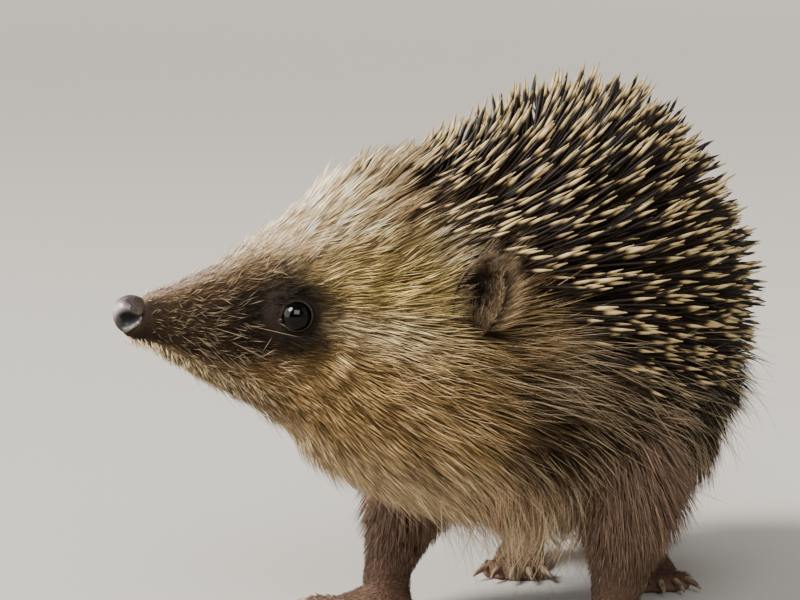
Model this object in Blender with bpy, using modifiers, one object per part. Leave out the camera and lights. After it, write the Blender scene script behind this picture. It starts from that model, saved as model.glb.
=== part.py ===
"""A European hedgehog, life size, as a still museum model: a young adult that stands and looks to its right.

The animal faces -X, its left side is at -Y, and it stands on the floor at Z = 0. Lengths are in metres.
The solids reach to the tips of the coat. One body form, lofted along a bent body line, is parted by thin
cuts into a furry underside and a spiny mantle over it. Legs, ears, tail, eyes and nose meet it with a gap.
"""

import math

import bmesh
import bpy
import numpy as np
from mathutils import Matrix, Vector

MM = 0.001
GAP = 0.3 * MM  # what parts two pieces that touch in life

# The body line runs from the tip of the nose, at 0, back to the rump. It turns because the head looks right.
# Each row: distance from the nose in mm, heading of the line in degrees (0 runs straight back, along +X).
BODY_LINE = ((0, -54), (50, -54), (80, -33), (111, -5), (141, 12), (185, 24))
LINE_ORIGIN = 130  # the distance from the nose that lies over the origin before the model is centred
LINE_STEP = 0.5

# Named sections of the body form, all in mm: distance from the nose, height of the top and of the underside
# above the floor, half width, and the height where it is widest.
SECTIONS = {
    "muzzle_tip": (5.5, 71.3, 62.0, 4.0, 66.5),
    "muzzle": (10.5, 72.8, 58.0, 5.4, 65.5),
    "whisker_pads": (18, 75.6, 53.4, 7.8, 65.0),
    "stop": (26, 80.4, 49.0, 10.8, 65.3),
    "eyes": (34, 85.8, 43.0, 15.0, 65.3),
    "brow": (43, 92.0, 33.5, 21.2, 64.0),
    "forehead": (54, 97.3, 27.5, 27.0, 62.0),
    "ears": (66, 99.8, 23.5, 31.0, 60.0),
    "nape": (82, 103.5, 21.3, 33.0, 58.0),
    "shoulders": (102, 108.5, 21.0, 34.0, 57.0),
    "back": (124, 109.0, 21.5, 34.5, 56.0),
    "hips": (144, 103.0, 23.0, 33.0, 54.0),
    "rump": (162, 90.5, 26.0, 28.0, 53.0),
    "tail_root": (175, 75.0, 32.0, 19.5, 52.0),
    "end": (182, 61.0, 41.0, 9.0, 51.0),
}
SQUARENESS = {"upper": 1.84, "lower": 2.15}  # 2 makes half a section an ellipse, more makes it fuller

# The lower edge of the spiny mantle: distance from the nose in mm, angle round the section in degrees,
# where 90 is the crest of the back and 0 the widest level.
MANTLE_EDGE = ((47, 86), (54, 58), (66, 33), (82, 10), (102, 2), (124, -8), (144, -14), (162, -20), (182, -24))
MANTLE_STEP = 1.0 * MM  # how far the spines stand proud of the fur at that edge
MANTLE_SEAT = 0.9 * MM  # the gap under the mantle, which is steeper and more twisted than the other cuts

# Pieces of the body form: name, then from and to in mm from the nose.
WHOLE_PIECES = (("snout", 5.5, 30),)
UNDER_PIECES = (("head", 30, 70), ("neck", 70, 90), ("chest", 90, 125), ("belly", 125, 160), ("rump", 160, 182))
MANTLE_PIECES = (("crown", 50, 70), ("nape", 70, 90), ("back", 90, 145), ("rump_mantle", 145, 182))
# Where these pieces all have a ring, in mm from the nose.
RING_PLACES = (*range(8, 30, 3), *range(35, 100, 5), *range(100, 168, 7), *range(168, 182, 4))
RING_POINTS = 36
UNDER_POINTS = 25
MANTLE_POINTS = 20
FLAT_STEPS = 6  # how many steps the straight side of a ring is divided into

NOSE_AT, NOSE_HEIGHT = 3.5, 66.6  # along the body line and above the floor, mm
NOSE_RADII = (3.6, 3.4, 4.3)  # along, across and up, mm
NOSTRIL_AT, NOSTRIL_ACROSS, NOSTRIL_HEIGHT = 2.8, 3.6, 66.1
NOSTRIL_RADII = (1.15, 1.6, 1.4)
MOUTH_LINE = ((3.0, 62.6), (9.5, 59.6), (17.5, 56.6), (26.0, 54.6))  # along and above the floor, mm
EYE_AT, EYE_ACROSS, EYE_HEIGHT, EYE_RADIUS = 32.0, 12.1, 67.0, 3.3
BALL_STEPS = (12, 8)  # round and down an eye, which its socket shares so that the gap stays even
EAR_AT, EAR_ACROSS, EAR_HEIGHT = 58.5, 25.5, 65.5
EAR_LENGTH, EAR_HALF_WIDTH, EAR_THICKNESS = 18.0, 7.2, 1.0
EAR_LEAN = (0.93, 0.30, 0.20)  # the way from the ear's root to its tip: up, outwards and backwards
EAR_FACING = (0.80, 0.60)  # the way its hollow faces: outwards and forwards
EAR_CUP, EAR_TIP_CURL, EAR_STAND_OFF = 4.6, 1.2, 4.5  # depth of the hollow and the tip's curl, and outwards
TAIL = ((176, 44, 6.0), (186, 40.5, 4.4), (193, 35, 1.2))  # distance from the nose, height and radius, mm

# The joints of each leg, in mm: along the body line, across it (left is negative), height, and radius there.
LEGS = {
    "foreleg_left": ((92, -17, 44, 11), (93, -21, 30, 9.5), (91, -22.5, 17, 7.2), (89, -22.5, 8, 5.8)),
    "foreleg_right": ((84, 15, 44, 11), (78, 20, 30, 9.2), (71, 22, 17, 7.0), (66, 22.5, 8, 5.6)),
    "hindleg_left": ((138, -11, 46, 15), (135, -11, 32, 13), (138, -10, 18, 8.6), (143, -9.5, 9, 6.0)),
    "hindleg_right": ((148, 13, 46, 15), (146, 15, 32, 13), (150, 16, 18, 8.6), (155, 16, 9, 6.0)),
}
LEG_SIDES = 12
LEG_RINGS = 6
# Each kind of foot, mm: the heel reaches behind the ankle, and the palm from there to the roots of the toes.
FEET = {
    "fore": {"heel": 5.0, "palm": 11.5, "half_width": 6.2, "height": 6.6, "toe": 5.6, "claw": 4.6},
    "hind": {"heel": 6.0, "palm": 20.0, "half_width": 5.8, "height": 6.8, "toe": 6.0, "claw": 4.8},
}
# How far along a foot each ring lies, with its width and height there, as shares of the foot's own.
PALM_FORM = ((0, 0.45, 0.55), (0.12, 0.72, 0.85), (0.4, 0.85, 1), (0.75, 1, 0.72), (1, 0.9, 0.5))
TOE_RADIUS = 2.0
SOLE_CUT = 0.6  # mm that the soles are flattened by
KNUCKLE_BACK, KNUCKLE_HEIGHT = 2.5, 1.8  # where the toes grow from the palm, mm
ANKLE_STUB = 2.5  # mm above the floor, where the ankle starts inside the foot
TOE_SPREAD = (-30, -14, 0, 14, 30)  # degrees, from the inner toe to the outer one
TOE_SHARE = (0.72, 0.94, 1.0, 0.92, 0.7)  # each toe's length against the middle one's
CLAW_RADII = (0.85, 0.62, 0.28)  # mm, at the root, halfway and at the tip
CLAW_RISE, CLAW_DROP = 0.6, 1.1  # mm that a claw starts above the toe's middle, and that its tip then falls
PALM_SIDES, TOE_SIDES, CLAW_SIDES = 10, 6, 5
FOOT_TURN = 8  # degrees that each foot points outwards

FINISHES = {  # linear colour and roughness
    "fur": ((0.22, 0.15, 0.085), 0.85),
    "spines": ((0.16, 0.11, 0.07), 0.6),
    "skin": ((0.10, 0.065, 0.045), 0.7),
    "nose": ((0.03, 0.025, 0.028), 0.35),
    "eye": ((0.005, 0.004, 0.004), 0.05),
}


def clear_scene():
    for obj in list(bpy.data.objects):
        bpy.data.objects.remove(obj, do_unlink=True)


def finish(name):
    """The material of this name, made when it is first asked for."""
    material = bpy.data.materials.get(name)
    if material is None:
        colour, roughness = FINISHES[name]
        material = bpy.data.materials.new(name)
        material.use_nodes = True
        shader = material.node_tree.nodes["Principled BSDF"]
        shader.inputs["Base Color"].default_value = (*colour, 1)
        shader.inputs["Roughness"].default_value = roughness
        shader.inputs["Metallic"].default_value = 0
    return material


def smooth_curve(points):
    """A monotone cubic through the points, so that a profile never bulges between its named values."""
    x, y = (np.array(column, float) for column in zip(*points))
    width = np.diff(x)
    slope = np.diff(y) / width
    tangent = np.concatenate([slope[:1], np.zeros(len(x) - 2), slope[-1:]])
    for i in range(1, len(x) - 1):
        if slope[i - 1] * slope[i] > 0:
            before, after = 2 * width[i] + width[i - 1], width[i] + 2 * width[i - 1]
            tangent[i] = (before + after) / (before / slope[i - 1] + after / slope[i])

    def value(at):
        at = min(max(at, x[0]), x[-1])
        i = min(max(int(np.searchsorted(x, at)) - 1, 0), len(width) - 1)
        u = (at - x[i]) / width[i]
        start = (1 + 2 * u) * (1 - u) ** 2 * y[i] + u * u * (3 - 2 * u) * y[i + 1]
        return start + u * (1 - u) * width[i] * ((1 - u) * tangent[i] - u * tangent[i + 1])

    return value


def profile(column):
    return smooth_curve([(row[0], row[column]) for row in SECTIONS.values()])


heading = smooth_curve(BODY_LINE)
top, underside, half_width, widest = (profile(column) for column in (1, 2, 3, 4))
mantle_edge = smooth_curve(MANTLE_EDGE)


def walked_line():
    """The body line in plan: distances from the nose in mm, and the x and y reached there in metres."""
    along = np.arange(0, 201, LINE_STEP)
    angle = np.radians([heading(d) for d in along])
    x = np.concatenate([[0], np.cumsum(np.cos(angle))[:-1]]) * LINE_STEP * MM
    y = np.concatenate([[0], np.cumsum(np.sin(angle))[:-1]]) * LINE_STEP * MM
    origin = int(LINE_ORIGIN / LINE_STEP)
    return along, x - x[origin], y - y[origin]


LINE = walked_line()


def axes(along):
    """The directions back along the body and to the animal's right, at this distance from the nose."""
    angle = math.radians(heading(along))
    return Vector((math.cos(angle), math.sin(angle), 0)), Vector((-math.sin(angle), math.cos(angle), 0))


def place(along, across, height):
    """The point this far from the nose, this far to the animal's right, and this high, all given in mm."""
    on_line = Vector((np.interp(along, LINE[0], LINE[1]), np.interp(along, LINE[0], LINE[2]), 0))
    return on_line + axes(along)[1] * across * MM + Vector((0, 0, height * MM))


def section(along, start, end, count, proud=0.0, lowest=None):
    """Points round the body form at this distance from the nose, from start to end in degrees.
    proud grows the section all round. No point lies below the height lowest. Both are in metres."""
    middle = place(along, 0, widest(along))
    right = axes(along)[1]
    half = half_width(along) * MM + proud
    rise = (top(along) - widest(along)) * MM + proud
    fall = (widest(along) - underside(along)) * MM + proud
    points = []
    for angle in np.radians(np.linspace(start, end, count)):
        power = 2 / SQUARENESS["upper" if math.sin(angle) > 0 else "lower"]
        across, up = (math.copysign(abs(v) ** power, v) for v in (math.cos(angle), math.sin(angle)))
        point = middle + right * across * half + Vector((0, 0, up * (rise if up > 0 else fall)))
        if lowest is not None:
            point.z = max(point.z, lowest)
        points.append(point)
    return points


def solid(name, rings, material, cut=False):
    """A closed body through these rings, each with as many points, with its two ends filled."""
    mesh = bmesh.new()
    rows = [[mesh.verts.new(point) for point in ring] for ring in rings]
    count = len(rows[0])
    for near, far in zip(rows, rows[1:]):
        for i in range(count):
            j = (i + 1) % count
            mesh.faces.new((near[i], near[j], far[j], far[i]))
    mesh.faces.new(rows[0])
    mesh.faces.new(rows[-1])
    bmesh.ops.remove_doubles(mesh, verts=mesh.verts, dist=0.01 * MM)
    bmesh.ops.recalc_face_normals(mesh, faces=mesh.faces)
    return add_object(name, mesh, material, cut)


def add_object(name, mesh, material, cut=False):
    """Turns a bmesh into an object of the hedgehog, or into one of its cutters."""
    data = bpy.data.meshes.new(name)
    mesh.to_mesh(data)
    mesh.free()
    data.materials.append(finish(material))
    data.shade_smooth()
    data.set_sharp_from_angle(angle=math.radians(50))
    obj = bpy.data.objects.new(name, data)
    (cutters if cut else hedgehog).objects.link(obj)
    obj.parent = root
    if cut:
        obj.hide_render = True
        obj.display_type = "WIRE"
    return obj


def boolean(obj, operation, other):
    modifier = obj.modifiers.new(other.name, "BOOLEAN")
    modifier.operation = operation
    modifier.solver = "EXACT"
    modifier.object = other


def distances(start, end):
    """Where the rings of a piece lie. The form's own ends stay where they are, and cuts lose half the gap."""
    half_gap = GAP / MM / 2
    first = start + (half_gap if start > SECTIONS["muzzle_tip"][0] else 0)
    last = end - (half_gap if end < SECTIONS["end"][0] else 0)
    return [first, *(d for d in RING_PLACES if first + 1 < d < last - 1), last]


def ring_round(centre, across, up, radii, sides):
    """A ring of points round centre, in the plane of across and up."""
    angles = np.linspace(0, 2 * math.pi, sides, endpoint=False)
    return [centre + across * math.cos(a) * radii[0] + up * math.sin(a) * radii[1] for a in angles]


def tube(name, rows, sides, material, cut=False):
    """A closed tapering tube, with a ring square to its line at each row, a centre and a radius."""
    rings = []
    for i, (centre, radius) in enumerate(rows):
        way = (rows[min(i + 1, len(rows) - 1)][0] - rows[max(i - 1, 0)][0]).normalized()
        side = way.cross(Vector((0, 0, 1))).normalized()
        rings.append(ring_round(centre, side, side.cross(way), (radius, radius), sides))
    return solid(name, rings, material, cut)


def bent(points, count):
    """count points on a smooth line through these rows, each row a tuple of numbers."""
    steps = range(len(points))
    curves = [smooth_curve(list(zip(steps, column))) for column in zip(*points)]
    return [tuple(curve(t) for curve in curves) for t in np.linspace(0, len(points) - 1, count)]


def round_cap(rows):
    """Rounds off the far end of a tube: the last row is repeated a little further on, and smaller."""
    (centre, radius), (before, _) = rows[-1], rows[-2]
    way = (centre - before).normalized()
    return rows + [(centre + way * radius * 0.5, radius * 0.8), (centre + way * radius * 0.8, radius * 0.42)]


# --- The body form and the pieces cut from it ---


def body_form(name, proud):
    """The whole form, grown by proud, as a cutter for what grows out of it."""
    start, end = SECTIONS["muzzle_tip"][0] - proud / MM, SECTIONS["end"][0] + proud / MM
    last_angle = 360 * (1 - 1 / RING_POINTS)
    rings = [section(d, 0, last_angle, RING_POINTS, proud) for d in np.linspace(start, end, 60)]
    return solid(name, rings, "fur", cut=True)


def closed_flat(arc):
    """The arc, with points on the straight line back to its start, so that both bodies at a cut match."""
    return arc + [arc[-1].lerp(arc[0], i / FLAT_STEPS) for i in range(1, FLAT_STEPS)]


def whole_piece(name, start, end):
    last_angle = 360 * (1 - 1 / RING_POINTS)
    return solid(name, [section(d, 0, last_angle, RING_POINTS) for d in distances(start, end)], "fur")


def under_piece(name, start, end):
    """The furry part of the body below the mantle's edge, flat under the mantle."""
    rings = []
    for d in distances(start, end):
        edge = mantle_edge(d) if d >= MANTLE_PIECES[0][1] else 90
        rings.append(closed_flat(section(d, 180 - edge, 360 + edge, UNDER_POINTS)))
    return solid(name, rings, "fur")


def mantle_piece(name, start, end):
    """The spiny part of the body above the mantle's edge, a little proud of the fur."""
    rings = []
    for d in distances(start, end):
        edge = mantle_edge(d)
        seat = section(d, edge, edge, 1)[0].z + MANTLE_SEAT
        rings.append(closed_flat(section(d, edge, 180 - edge, MANTLE_POINTS, MANTLE_STEP, seat)))
    return solid(name, rings, "spines")


def build_body():
    for row in WHOLE_PIECES:
        whole_piece(*row)
    for row in UNDER_PIECES:
        under_piece(*row)
    for row in MANTLE_PIECES:
        mantle_piece(*row)


# --- The face ---


def mouth_form(name, lift):
    """What lies under the mouth line, wider than the snout, its top raised by lift metres."""
    depth, reach = 30, 16  # mm below the line, and to each side
    rings = []
    for along, height in bent(MOUTH_LINE, 8):
        upper = [place(along, across, height) + Vector((0, 0, lift)) for across in (-reach, reach)]
        lower = [place(along, across, height - depth) for across in (reach, -reach)]
        rings.append(upper + lower)
    return solid(name, rings, "fur", cut=True)


def build_mouth():
    """Parts the lower jaw from the snout along the mouth line."""
    snout = bpy.data.objects["snout"]
    jaw = snout.copy()
    jaw.data = snout.data.copy()
    jaw.name = "lower_jaw"
    hedgehog.objects.link(jaw)
    boolean(snout, "DIFFERENCE", mouth_form("mouth_opening", GAP))
    jaw_space = mouth_form("jaw_space", 0)
    back, _ = axes(0)
    for vertex in jaw_space.data.vertices:  # the corner of the mouth keeps its gap too
        vertex.co -= back * GAP
    boolean(jaw, "INTERSECT", jaw_space)


def ellipsoid(name, centre, radii, frame, material, segments, rings, cut=False):
    mesh = bmesh.new()
    bmesh.ops.create_uvsphere(mesh, u_segments=segments, v_segments=rings, radius=1)
    scale = Matrix.Diagonal((*radii, 1))
    bmesh.ops.transform(mesh, matrix=Matrix.Translation(centre) @ frame @ scale, verts=mesh.verts)
    return add_object(name, mesh, material, cut)


def body_frame(along):
    """A rotation whose X runs back along the body and whose Y is the animal's right."""
    back, right = axes(along)
    return Matrix((back, right, (0, 0, 1))).transposed().to_4x4()


def build_nose(form):
    frame = body_frame(0)
    centre = place(NOSE_AT, 0, NOSE_HEIGHT)
    nose = ellipsoid("nose", centre, [r * MM for r in NOSE_RADII], frame, "nose", 14, 8)
    boolean(nose, "DIFFERENCE", form)
    for side, sign in SIDES:
        pit = place(NOSTRIL_AT, sign * NOSTRIL_ACROSS, NOSTRIL_HEIGHT)
        radii = [r * MM for r in NOSTRIL_RADII]
        boolean(nose, "DIFFERENCE", ellipsoid(f"nostril_{side}", pit, radii, frame, "nose", 10, 6, cut=True))


def build_eyes():
    head, snout = bpy.data.objects["head"], bpy.data.objects["snout"]
    for side, sign in SIDES:
        centre = place(EYE_AT, sign * EYE_ACROSS, EYE_HEIGHT)
        frame = body_frame(EYE_AT)
        ellipsoid(f"eye_{side}", centre, [EYE_RADIUS * MM] * 3, frame, "eye", *BALL_STEPS)
        socket_radii = [EYE_RADIUS * MM + GAP] * 3
        socket = ellipsoid(f"socket_{side}", centre, socket_radii, frame, "fur", *BALL_STEPS, cut=True)
        boolean(head, "DIFFERENCE", socket)
        boolean(snout, "DIFFERENCE", socket)


def build_ears(form):
    """Each ear is a cupped leaf, open forwards and outwards, whose root is cut off by the coat."""
    for side, sign in SIDES:
        back, right = axes(EAR_AT)
        out = right * sign
        up = (Vector((0, 0, EAR_LEAN[0])) + out * EAR_LEAN[1] + back * EAR_LEAN[2]).normalized()
        facing = (out * EAR_FACING[0] - back * EAR_FACING[1]).normalized()
        wide = up.cross(facing).normalized()
        root_point = place(EAR_AT, sign * EAR_ACROSS, EAR_HEIGHT)
        mesh = bmesh.new()
        rows = []
        for v in np.linspace(0, 1, 7):
            width = EAR_HALF_WIDTH * math.sin(math.pi * (0.22 + 0.70 * v)) ** 0.6
            row = []
            for u in np.linspace(-1, 1, 9):
                cup = EAR_CUP * (1 - u * u) * math.cos(v * math.pi / 2) ** 0.5 + EAR_TIP_CURL * v
                offset = up * (v * EAR_LENGTH) + wide * (u * width) - facing * cup + out * EAR_STAND_OFF
                row.append(mesh.verts.new(root_point + offset * MM))
            rows.append(row)
        for near, far in zip(rows, rows[1:]):
            for i in range(len(near) - 1):
                mesh.faces.new((near[i], near[i + 1], far[i + 1], far[i]))
        ear = add_object(f"ear_{side}", mesh, "skin")
        wall = ear.modifiers.new("wall", "SOLIDIFY")
        wall.thickness = EAR_THICKNESS * MM
        wall.offset = 0
        boolean(ear, "DIFFERENCE", form)


# --- Tail, legs and feet ---


def build_tail(form):
    rows = round_cap([(place(along, 0, height), radius * MM) for along, height, radius in bent(TAIL, 6)])
    tail = tube("tail", rows, LEG_SIDES, "skin")
    boolean(tail, "DIFFERENCE", form)


def build_leg(name, joints, form):
    """A leg of level rings, a little longer than wide, down to the ankle. Returns the ankle and its ring."""
    forwards = -axes(joints[-1][0])[0]
    right = Vector((forwards.y, -forwards.x, 0))
    rings = []
    for along, across, height, radius in bent(joints, LEG_RINGS):
        ankle = place(along, across, height)
        rings.append(ring_round(ankle, forwards, right, (radius * 1.1 * MM, radius * 0.95 * MM), LEG_SIDES))
    leg = solid(name, rings, "skin")
    boolean(leg, "DIFFERENCE", form)
    return ankle, rings[-1]


def foot_axes(along, sign):
    """Forwards, outwards and upwards for a foot that stands at this distance along the body line."""
    turn = Matrix.Rotation(math.radians(-sign * FOOT_TURN), 3, "Z")
    forwards = turn @ -axes(along)[0]
    return forwards, Vector((forwards.y, -forwards.x, 0)) * sign, Vector((0, 0, 1))


def build_palm(name, size, base, ways):
    forwards, outwards, upwards = ways
    rows = []
    for share, width, height in PALM_FORM:
        reach = -size["heel"] + share * (size["heel"] + size["palm"])
        middle = size["height"] * height / 2
        centre = base + (forwards * reach + upwards * (middle - SOLE_CUT)) * MM
        radii = (size["half_width"] * width * MM, (middle + SOLE_CUT) * MM)
        rows.append(ring_round(centre, outwards, upwards, radii, PALM_SIDES))
    return solid(name, rows, "skin")


def add_toe(foot, number, size, base, ways):
    """Joins one toe and its claw to the foot."""
    forwards, outwards, upwards = ways
    angle, share = math.radians(TOE_SPREAD[number]), TOE_SHARE[number]
    way = forwards * math.cos(angle) + outwards * math.sin(angle)
    aside = size["half_width"] * math.sin(angle)
    root_of_toe = forwards * (size["palm"] - KNUCKLE_BACK) + outwards * aside + upwards * KNUCKLE_HEIGHT
    length = size["toe"] * share + KNUCKLE_BACK
    path = [base + (root_of_toe + way * length * t) * MM for t in (0, 0.55, 1)]
    rows = round_cap([(point, TOE_RADIUS * MM * swell) for point, swell in zip(path, (0.9, 1.05, 0.9))])
    boolean(foot, "UNION", tube(f"{foot.name}_toe_{number}", rows, TOE_SIDES, "skin", cut=True))
    claw = size["claw"] * (0.8 + 0.2 * share)
    rows = []
    for t, radius in zip((-0.1, 0.5, 1), CLAW_RADII):
        point = path[-1] + (way * claw * t + upwards * (CLAW_RISE - CLAW_DROP * t * t)) * MM
        rows.append((point, radius * MM))
    boolean(foot, "UNION", tube(f"{foot.name}_claw_{number}", rows, CLAW_SIDES, "skin", cut=True))


def build_foot(name, size, ankle, ankle_ring, ways, floor):
    """A flat-soled foot under its ankle: a palm with an ankle stub, the toes and their claws, as one body."""
    base = Vector((ankle.x, ankle.y, 0))
    foot = build_palm(name, size, base, ways)
    stub = [[Vector((p.x, p.y, z)) for p in ankle_ring] for z in (ANKLE_STUB * MM, ankle.z - GAP)]
    boolean(foot, "UNION", solid(f"{name}_ankle", stub, "skin", cut=True))
    for number in range(len(TOE_SPREAD)):
        add_toe(foot, number, size, base, ways)
    boolean(foot, "DIFFERENCE", floor)


def box_cutter(name, low, high):
    mesh = bmesh.new()
    bmesh.ops.create_cube(mesh, size=1)
    middle, sides = (Vector(low) + Vector(high)) / 2, Vector(high) - Vector(low)
    matrix = Matrix.Translation(middle) @ Matrix.Diagonal((*sides, 1))
    bmesh.ops.transform(mesh, matrix=matrix, verts=mesh.verts)
    return add_object(name, mesh, "skin", cut=True)


def centre_over_origin():
    """Moves the animal so that the middle of its box, seen from above, stands over the origin."""
    bpy.context.view_layer.update()
    graph = bpy.context.evaluated_depsgraph_get()
    corners = []
    for obj in hedgehog.objects:
        if obj.type == "MESH":
            shown = obj.evaluated_get(graph)
            corners += [shown.matrix_world @ Vector(corner) for corner in shown.bound_box]
    low, high = (Vector(map(pick, zip(*corners))) for pick in (min, max))
    root.location = (-(low.x + high.x) / 2, -(low.y + high.y) / 2, 0)


clear_scene()
hedgehog = bpy.data.collections.new("hedgehog")
cutters = bpy.data.collections.new("cutters")
for collection in (hedgehog, cutters):
    bpy.context.scene.collection.children.link(collection)
root = bpy.data.objects.new("standing_point", None)
hedgehog.objects.link(root)
SIDES = (("left", -1), ("right", 1))

coat = body_form("coat_form", GAP)
spiny_coat = body_form("spiny_coat_form", MANTLE_STEP + GAP)
floor_cutter = box_cutter("floor", (-0.2, -0.2, -0.03), (0.2, 0.2, 0))
build_body()
build_mouth()
build_nose(coat)
build_eyes()
build_ears(spiny_coat)
build_tail(spiny_coat)
for leg_name, leg_joints in LEGS.items():
    ankle_point, ring = build_leg(leg_name, leg_joints, coat)
    foot_ways = foot_axes(leg_joints[-1][0], -1 if leg_name.endswith("left") else 1)
    foot_size = FEET["fore" if leg_name.startswith("fore") else "hind"]
    build_foot(leg_name.replace("leg", "foot"), foot_size, ankle_point, ring, foot_ways, floor_cutter)
centre_over_origin()
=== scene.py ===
"""The looks of a young European hedgehog, life size: one skin under a coat of mesh fur and spines.

Lengths in the tables are in millimetres. A place on the body is its distance from the nose along the bent
body line and an angle round the section there: 90 is the crest of the back, 0 the widest level on the right.
In the functions s and a are arrays of these distances and angles, and u, v and t are shares of a length.
"""

import math
import re

import bmesh
import bpy
import numpy as np
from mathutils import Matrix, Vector


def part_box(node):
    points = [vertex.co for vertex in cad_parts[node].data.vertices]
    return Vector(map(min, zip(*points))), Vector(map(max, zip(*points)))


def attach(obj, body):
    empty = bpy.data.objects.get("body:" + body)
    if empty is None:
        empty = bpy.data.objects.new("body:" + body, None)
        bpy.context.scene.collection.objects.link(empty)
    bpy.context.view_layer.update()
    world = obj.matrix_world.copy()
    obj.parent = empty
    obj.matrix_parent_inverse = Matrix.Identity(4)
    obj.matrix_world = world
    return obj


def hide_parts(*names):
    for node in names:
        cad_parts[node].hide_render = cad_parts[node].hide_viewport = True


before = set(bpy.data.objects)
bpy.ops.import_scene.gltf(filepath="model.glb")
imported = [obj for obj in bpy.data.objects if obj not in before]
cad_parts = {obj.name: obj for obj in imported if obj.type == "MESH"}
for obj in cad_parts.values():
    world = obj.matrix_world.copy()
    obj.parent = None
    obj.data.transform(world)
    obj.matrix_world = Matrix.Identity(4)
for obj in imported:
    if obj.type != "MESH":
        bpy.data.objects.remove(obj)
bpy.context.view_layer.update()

MM = 0.001
UP = np.array((0.0, 0.0, 1.0))
SIDES = (("left", -1), ("right", 1))
FUR_SEED, SPINE_SEED, LIMB_SEED = 7, 11, 5

# --- The form of the body, as the solids have it, out to the tips of the coat ---

# How the body bends: distance from the nose, degrees that its line turns from the x axis.
BODY_LINE = ((0, -54), (50, -54), (80, -33), (111, -5), (141, 12), (185, 24))
LINE_END, LINE_STEP = 201, 0.5

# Distance from the nose, heights of the top and the underside, half width, height of the widest level.
SECTIONS = {
    "lip_tip": (1.9, 65.6, 62.5, 2.3, 64.0),
    "under_nose": (3.4, 67.6, 61.9, 3.3, 64.6),
    "muzzle_tip": (5.5, 71.1, 61.2, 4.0, 65.9),
    "muzzle": (10.5, 72.8, 58.0, 5.4, 65.5),
    "whisker_pads": (18, 75.6, 53.4, 7.8, 65.0),
    "stop": (26, 80.4, 49.0, 10.8, 65.3),
    "eyes": (34, 85.8, 43.0, 15.0, 65.3),
    "brow": (43, 92.0, 33.5, 21.2, 64.0),
    "forehead": (54, 97.3, 27.5, 27.0, 62.0),
    "ears": (66, 99.8, 23.5, 31.0, 60.0),
    "nape": (82, 103.5, 21.3, 33.0, 58.0),
    "shoulders": (102, 108.5, 21.0, 34.0, 57.0),
    "back": (124, 109.0, 21.5, 34.5, 56.0),
    "hips": (144, 103.0, 23.0, 33.0, 54.0),
    "rump": (162, 90.5, 26.0, 28.0, 53.0),
    "tail_root": (175, 75.0, 32.0, 19.5, 52.0),
    "end": (182, 61.0, 41.0, 9.0, 51.0),
}
SQUARENESS_UPPER, SQUARENESS_LOWER = 1.84, 2.15  # of each half section, where 2 is an ellipse

# How deep the coat is over the skin: distance from the nose, then on the top, the side and the underside.
COAT_DEPTH = (
    (5.5, 0.45, 0.45, 0.5),
    (18, 0.6, 0.6, 0.8),
    (26, 0.9, 0.8, 1.3),
    (34, 1.6, 1.3, 2.4),
    (43, 3.2, 2.6, 4.0),
    (54, 7.0, 4.2, 5.5),
    (66, 10.0, 5.5, 6.5),
    (82, 12.0, 7.5, 7.0),
    (102, 12.5, 9.0, 7.2),
    (144, 12.5, 9.5, 7.0),
    (162, 12.0, 9.0, 7.0),
    (182, 11.0, 8.0, 6.0),
)
# Where the skin begins under the nose pad and ends under the spines, and over how far each end is rounded.
SKIN_FRONT, SKIN_END = 1.5, 174.0
FRONT_ROUNDING, REAR_ROUNDING = 1.3, 10
# The rings of the skin stand closer on the head, which ends here.
HEAD_END, HEAD_STEP, BODY_STEP, SKIN_COLUMNS = 48, 0.5, 1.6, 160
# The line between fur and spines: distance from the nose, degrees above the widest level.
MANTLE_EDGE = (
    (44, 80), (48, 60), (54, 44), (60, 33), (67, 20), (76, 0),
    (90, -9), (124, -14), (144, -16), (162, -20), (182, -24),
)  # fmt: skip


def smooth_curve(points):
    """A monotone cubic through the points, for whole arrays of places at once."""
    x, y = (np.array(column, float) for column in zip(*points))
    width = np.diff(x)
    slope = np.diff(y) / width
    tangent = np.concatenate([slope[:1], np.zeros(len(x) - 2), slope[-1:]])
    for i in range(1, len(x) - 1):
        if slope[i - 1] * slope[i] > 0:
            before, after = 2 * width[i] + width[i - 1], width[i] + 2 * width[i - 1]
            tangent[i] = (before + after) / (before / slope[i - 1] + after / slope[i])

    def value(at):
        at = np.clip(np.asarray(at, float), x[0], x[-1])
        i = np.clip(np.searchsorted(x, at) - 1, 0, len(width) - 1)
        u = (at - x[i]) / width[i]
        ends = (1 + 2 * u) * (1 - u) ** 2 * y[i] + u * u * (3 - 2 * u) * y[i + 1]
        return ends + u * (1 - u) * width[i] * ((1 - u) * tangent[i] - u * tangent[i + 1])

    return value


def profiles(rows):
    """One smooth curve for each column after the first."""
    return [smooth_curve([(row[0], row[column]) for row in rows]) for column in range(1, len(rows[0]))]


heading = smooth_curve(BODY_LINE)
top, underside, half_width, widest = profiles(list(SECTIONS.values()))
depth_top, depth_side, depth_under = profiles(COAT_DEPTH)
mantle_edge = smooth_curve(MANTLE_EDGE)

LINE_AT = np.arange(0, LINE_END, LINE_STEP)
LINE_X, LINE_Y = (
    np.concatenate([[0], np.cumsum(part(np.radians(heading(LINE_AT))))[:-1]]) * LINE_STEP
    for part in (np.cos, np.sin)
)  # fmt: skip

EYE_AT, EYE_ACROSS, EYE_HEIGHT, EYE_RADIUS = 32.0, 12.1, 67.0, 3.3


def ways(along):
    """The directions back along the body and to the animal's right, at these distances from the nose."""
    angle = np.radians(heading(along))
    zero = np.zeros_like(angle)
    back = np.stack([np.cos(angle), np.sin(angle), zero], -1)
    return back, np.stack([-np.sin(angle), np.cos(angle), zero], -1)


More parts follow.
